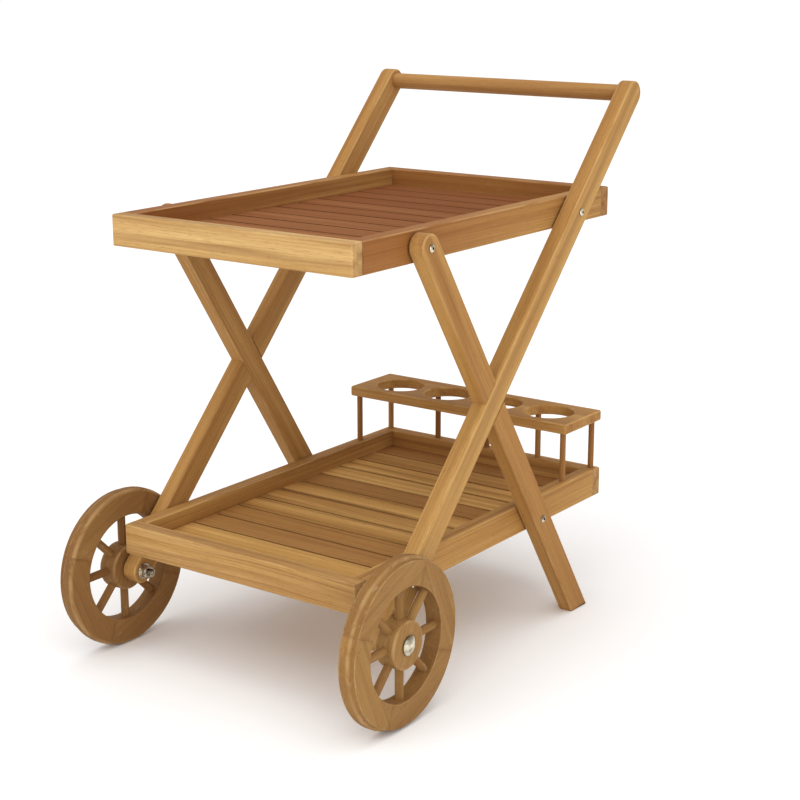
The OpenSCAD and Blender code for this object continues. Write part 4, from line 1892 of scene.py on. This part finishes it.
    def _nuts(self, palette: Palette, patterns: Patterns) -> bpy.types.Object:
        """Hexagon nuts with bevelled corners."""
        corner = self.nut_flats / 2 / math.cos(math.pi / 6)
        cone = self.nut_flats / 2 * 0.98
        rings = [
            self._hexagon(self.nut_flats, 0.0, cone),
            self._hexagon(self.nut_flats, self.nut_bevel, corner),
            self._hexagon(self.nut_flats, self.nut_height - self.nut_bevel, corner),
            self._hexagon(self.nut_flats, self.nut_height, cone),
            *self._rings([(self.bolt, self.nut_height), (self.bolt, 0.0)]),
        ]
        nut = self._part("Nut", rings, palette.zinc, hollow=True)
        at = self._on_axles(self.sides[0].inner - self.washer_thickness - self.nut_height)
        return self._copies(patterns, "axle_nuts", nut, at, palette.zinc)

    def _screws(self, palette: Palette, patterns: Patterns) -> bpy.types.Object:
        """Leg screws with domed heads and hexagon sockets."""
        place = self.sides[0]
        end = -(self.bite + self.spacer_thickness + place.outer - place.inner)
        profile = [
            (0.0, end),
            (self.shank - self.screw_bevel, end),
            (self.shank, end + self.screw_bevel),
            (self.shank, 0.0),
            (self.head - 0.2 * MM, 0.0),
        ]
        socket_radius = self.key / 2 / math.cos(math.pi / 6) + self.lip
        dome = self._dome(self.head, self.head_rise, socket_radius, 8)
        rings = self._rings([*profile, *dome])
        rings += [self._hexagon(self.key, dome[-1][1] - 0.1 * MM), self._hexagon(self.key, self.head_rise / 3)]
        # The rings under the head's rim and down in the socket are darkened: tarnish and painted shade.
        rim, last = len(profile), len(rings) - 2
        screw = self._part(
            "Leg screw", rings, palette.bright_steel, grime=lambda i: 1.0 if rim - 2 <= i <= rim or i >= last else 0.0
        )
        return self._copies(patterns, "leg_screws", screw, self._on_legs(place.outer), palette.bright_steel)

    def _spacers(self, palette: Palette, patterns: Patterns) -> bpy.types.Object:
        """Spacer rings between the legs and the trays."""
        spacer = self._flat_ring(
            "Spacer", self.spacer_bore, self.spacer, self.spacer_thickness, self.chamfer, palette.zinc
        )
        at = self._on_legs(self.sides[0].inner - self.spacer_thickness)
        return self._copies(patterns, "leg_spacers", spacer, at, palette.zinc)

    def build(self, palette: Palette, patterns: Patterns) -> list[bpy.types.Object]:
        """Makes every fitting."""
        makers = (self._bolts, self._washers, self._nuts, self._screws, self._spacers)
        return [make(palette, patterns) for make in makers]


# ---------------------------------------------------------------------------------------------------------------
# The studio
# ---------------------------------------------------------------------------------------------------------------


@dataclass
class Studio:
    """Camera, lights and a pale floor.

    Attributes:
        camera_at: The camera's place.
        heading: The camera's heading from +X towards +Y, in degrees.
        dip: How far the camera looks below the horizon, in degrees.
        lens: Focal length on a 36 mm sensor.
        sky: Strength of the even light from all round.
        key: Power of the large front light.
        fill: Power of the light beside the camera.
        top: Strength of the wide overhead light.
        backdrop: Brightness of the surround where the camera sees it.
    """

    camera_at: tuple[float, float, float] = (-2.13502, -1.60562, 1.08762)
    heading: float = 35.80
    dip: float = 14.80
    lens: float = 77.2
    sky: float = 0.76
    key: float = 17.0
    fill: float = 20.0
    top: float = 1.25
    backdrop: float = 1.02

    def _camera(self) -> None:
        """The camera."""
        data = bpy.data.cameras.new("Studio camera")
        data.lens, data.sensor_width = self.lens, 36.0
        data.clip_start, data.clip_end = 0.05, 60.0
        camera = bpy.data.objects.new("Studio camera", data)
        camera.location = self.camera_at
        camera.rotation_euler = (math.radians(90 - self.dip), 0.0, math.radians(self.heading - 90))
        bpy.context.collection.objects.link(camera)
        bpy.context.scene.camera = camera

    @staticmethod
    def _panel(
        name: str,
        at: tuple[float, float, float],
        aim: Vector,
        size: float,
        power: float,
        tint: tuple[float, float, float],
    ) -> None:
        """A square soft light that faces a point."""
        data = bpy.data.lights.new(name, "AREA")
        data.shape, data.size, data.energy, data.color = "SQUARE", size, power, tint
        lamp = bpy.data.objects.new(name, data)
        lamp.location = at
        lamp.rotation_euler = (aim - Vector(at)).to_track_quat("-Z", "Y").to_euler()
        bpy.context.collection.objects.link(lamp)

    def _floor(self) -> None:
        """A wide pale floor with a faint mottle."""
        mesh = bpy.data.meshes.new("Studio floor")
        reach = 14.0
        corners = [(-reach, -reach, 0), (reach, -reach, 0), (reach, reach, 0), (-reach, reach, 0)]
        mesh.from_pydata(corners, [], [(0, 1, 2, 3)])
        floor = bpy.data.objects.new("Studio floor", mesh)
        material = bpy.data.materials.new("Pale floor")
        material.use_nodes = True
        tree = material.node_tree
        place = add_node(tree, "ShaderNodeTexCoord").outputs["Object"]
        colour = blend_of(tree, noise_of(tree, place, 1.5), (0.96, 0.96, 0.96, 1.0), (0.97, 0.97, 0.97, 1.0))
        shader = tree.nodes["Principled BSDF"]
        tree.links.new(colour, shader.inputs["Base Color"])
        shader.inputs["Roughness"].default_value = 0.9
        shader.inputs["Specular IOR Level"].default_value = 0.1
        mesh.materials.append(material)
        bpy.context.collection.objects.link(floor)

    def build(self) -> None:
        """Sets up the whole studio."""
        self._camera()
        aim = Vector((0.0, 0.0, 0.42))
        self._panel("Front light", (-3.2, 0.2, 1.9), aim, 2.4, self.key, (1.0, 0.98, 0.95))
        self._panel("Camera light", (-1.6, -3.0, 1.5), aim, 2.2, self.fill, (1.0, 0.99, 0.97))
        data = bpy.data.lights.new("Overhead light", "SUN")
        data.energy, data.angle = self.top, math.radians(75)
        lamp = bpy.data.objects.new("Overhead light", data)
        lamp.rotation_euler = (math.radians(8), math.radians(-14), 0.0)
        bpy.context.collection.objects.link(lamp)
        self._floor()
        world = bpy.data.worlds.new("Studio surround")
        world.use_nodes = True
        tree = world.node_tree
        seen = add_node(tree, "ShaderNodeLightPath").outputs["Is Camera Ray"]
        strength = math_of(tree, "MULTIPLY_ADD", seen, self.backdrop - self.sky, self.sky)
        tree.nodes["Background"].inputs[0].default_value = (1.0, 1.0, 1.0, 1.0)
        tree.links.new(strength, tree.nodes["Background"].inputs[1])
        bpy.context.scene.world = world
        bpy.context.scene.view_settings.view_transform = "Standard"
        LOG.info("studio ready")


def main(frame: dict) -> None:
    """Builds the trolley and its studio in order.
    """
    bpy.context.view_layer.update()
    record = frame["record"]
    Studio().build()
    palette, patterns = Palette(), Patterns()
    sides = [Places.of(side, record) for side in Side]
    for places in sides:
        CrossedLegs(places).build(palette)
    PushHandle().build(palette)
    upper = Tray(
        "upper",
        palette.upper_slats,
        "teak_slats_upper",
        # The back and right rails' higher tones are partly painted shade, for the shade that falls inside the tray.
        tones=(0.0, 0.65, 0.55, 0.7),
        slat_tones=(0.0, 0.5),
        seed=4,
        slat_drift=0.06,
        side_fade=-1.1,
    )
    lower = Tray(
        "lower",
        palette.lower_slats,
        "teak_slats_lower",
        tones=(0.1, 0.3, 0.1, 0.2),
        slat_tones=(-0.2, 0.9),
        seed=11,
    )
    for tray in (upper, lower):
        tray.build(palette, patterns)
    BottleRack().build(palette, patterns, record)
    # The right wheel's higher tones are painted shade on the wheel whose inner side faces the camera; the left
    # wheel's tones are its own.
    wheel_tones_and_shade = ((0.30, 0.42, 0.18, 0.5, 0.3, 0.35), (0.62, 0.55, 0.72, 0.66, 0.75, 0.85))
    for places, tones in zip(sides, wheel_tones_and_shade, strict=True):
        SpokedWheel(places, tones).build(palette, patterns)
    Fittings(sides).build(palette, patterns)
    bpy.context.view_layer.update()


if __name__ == "__main__":
    main(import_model())
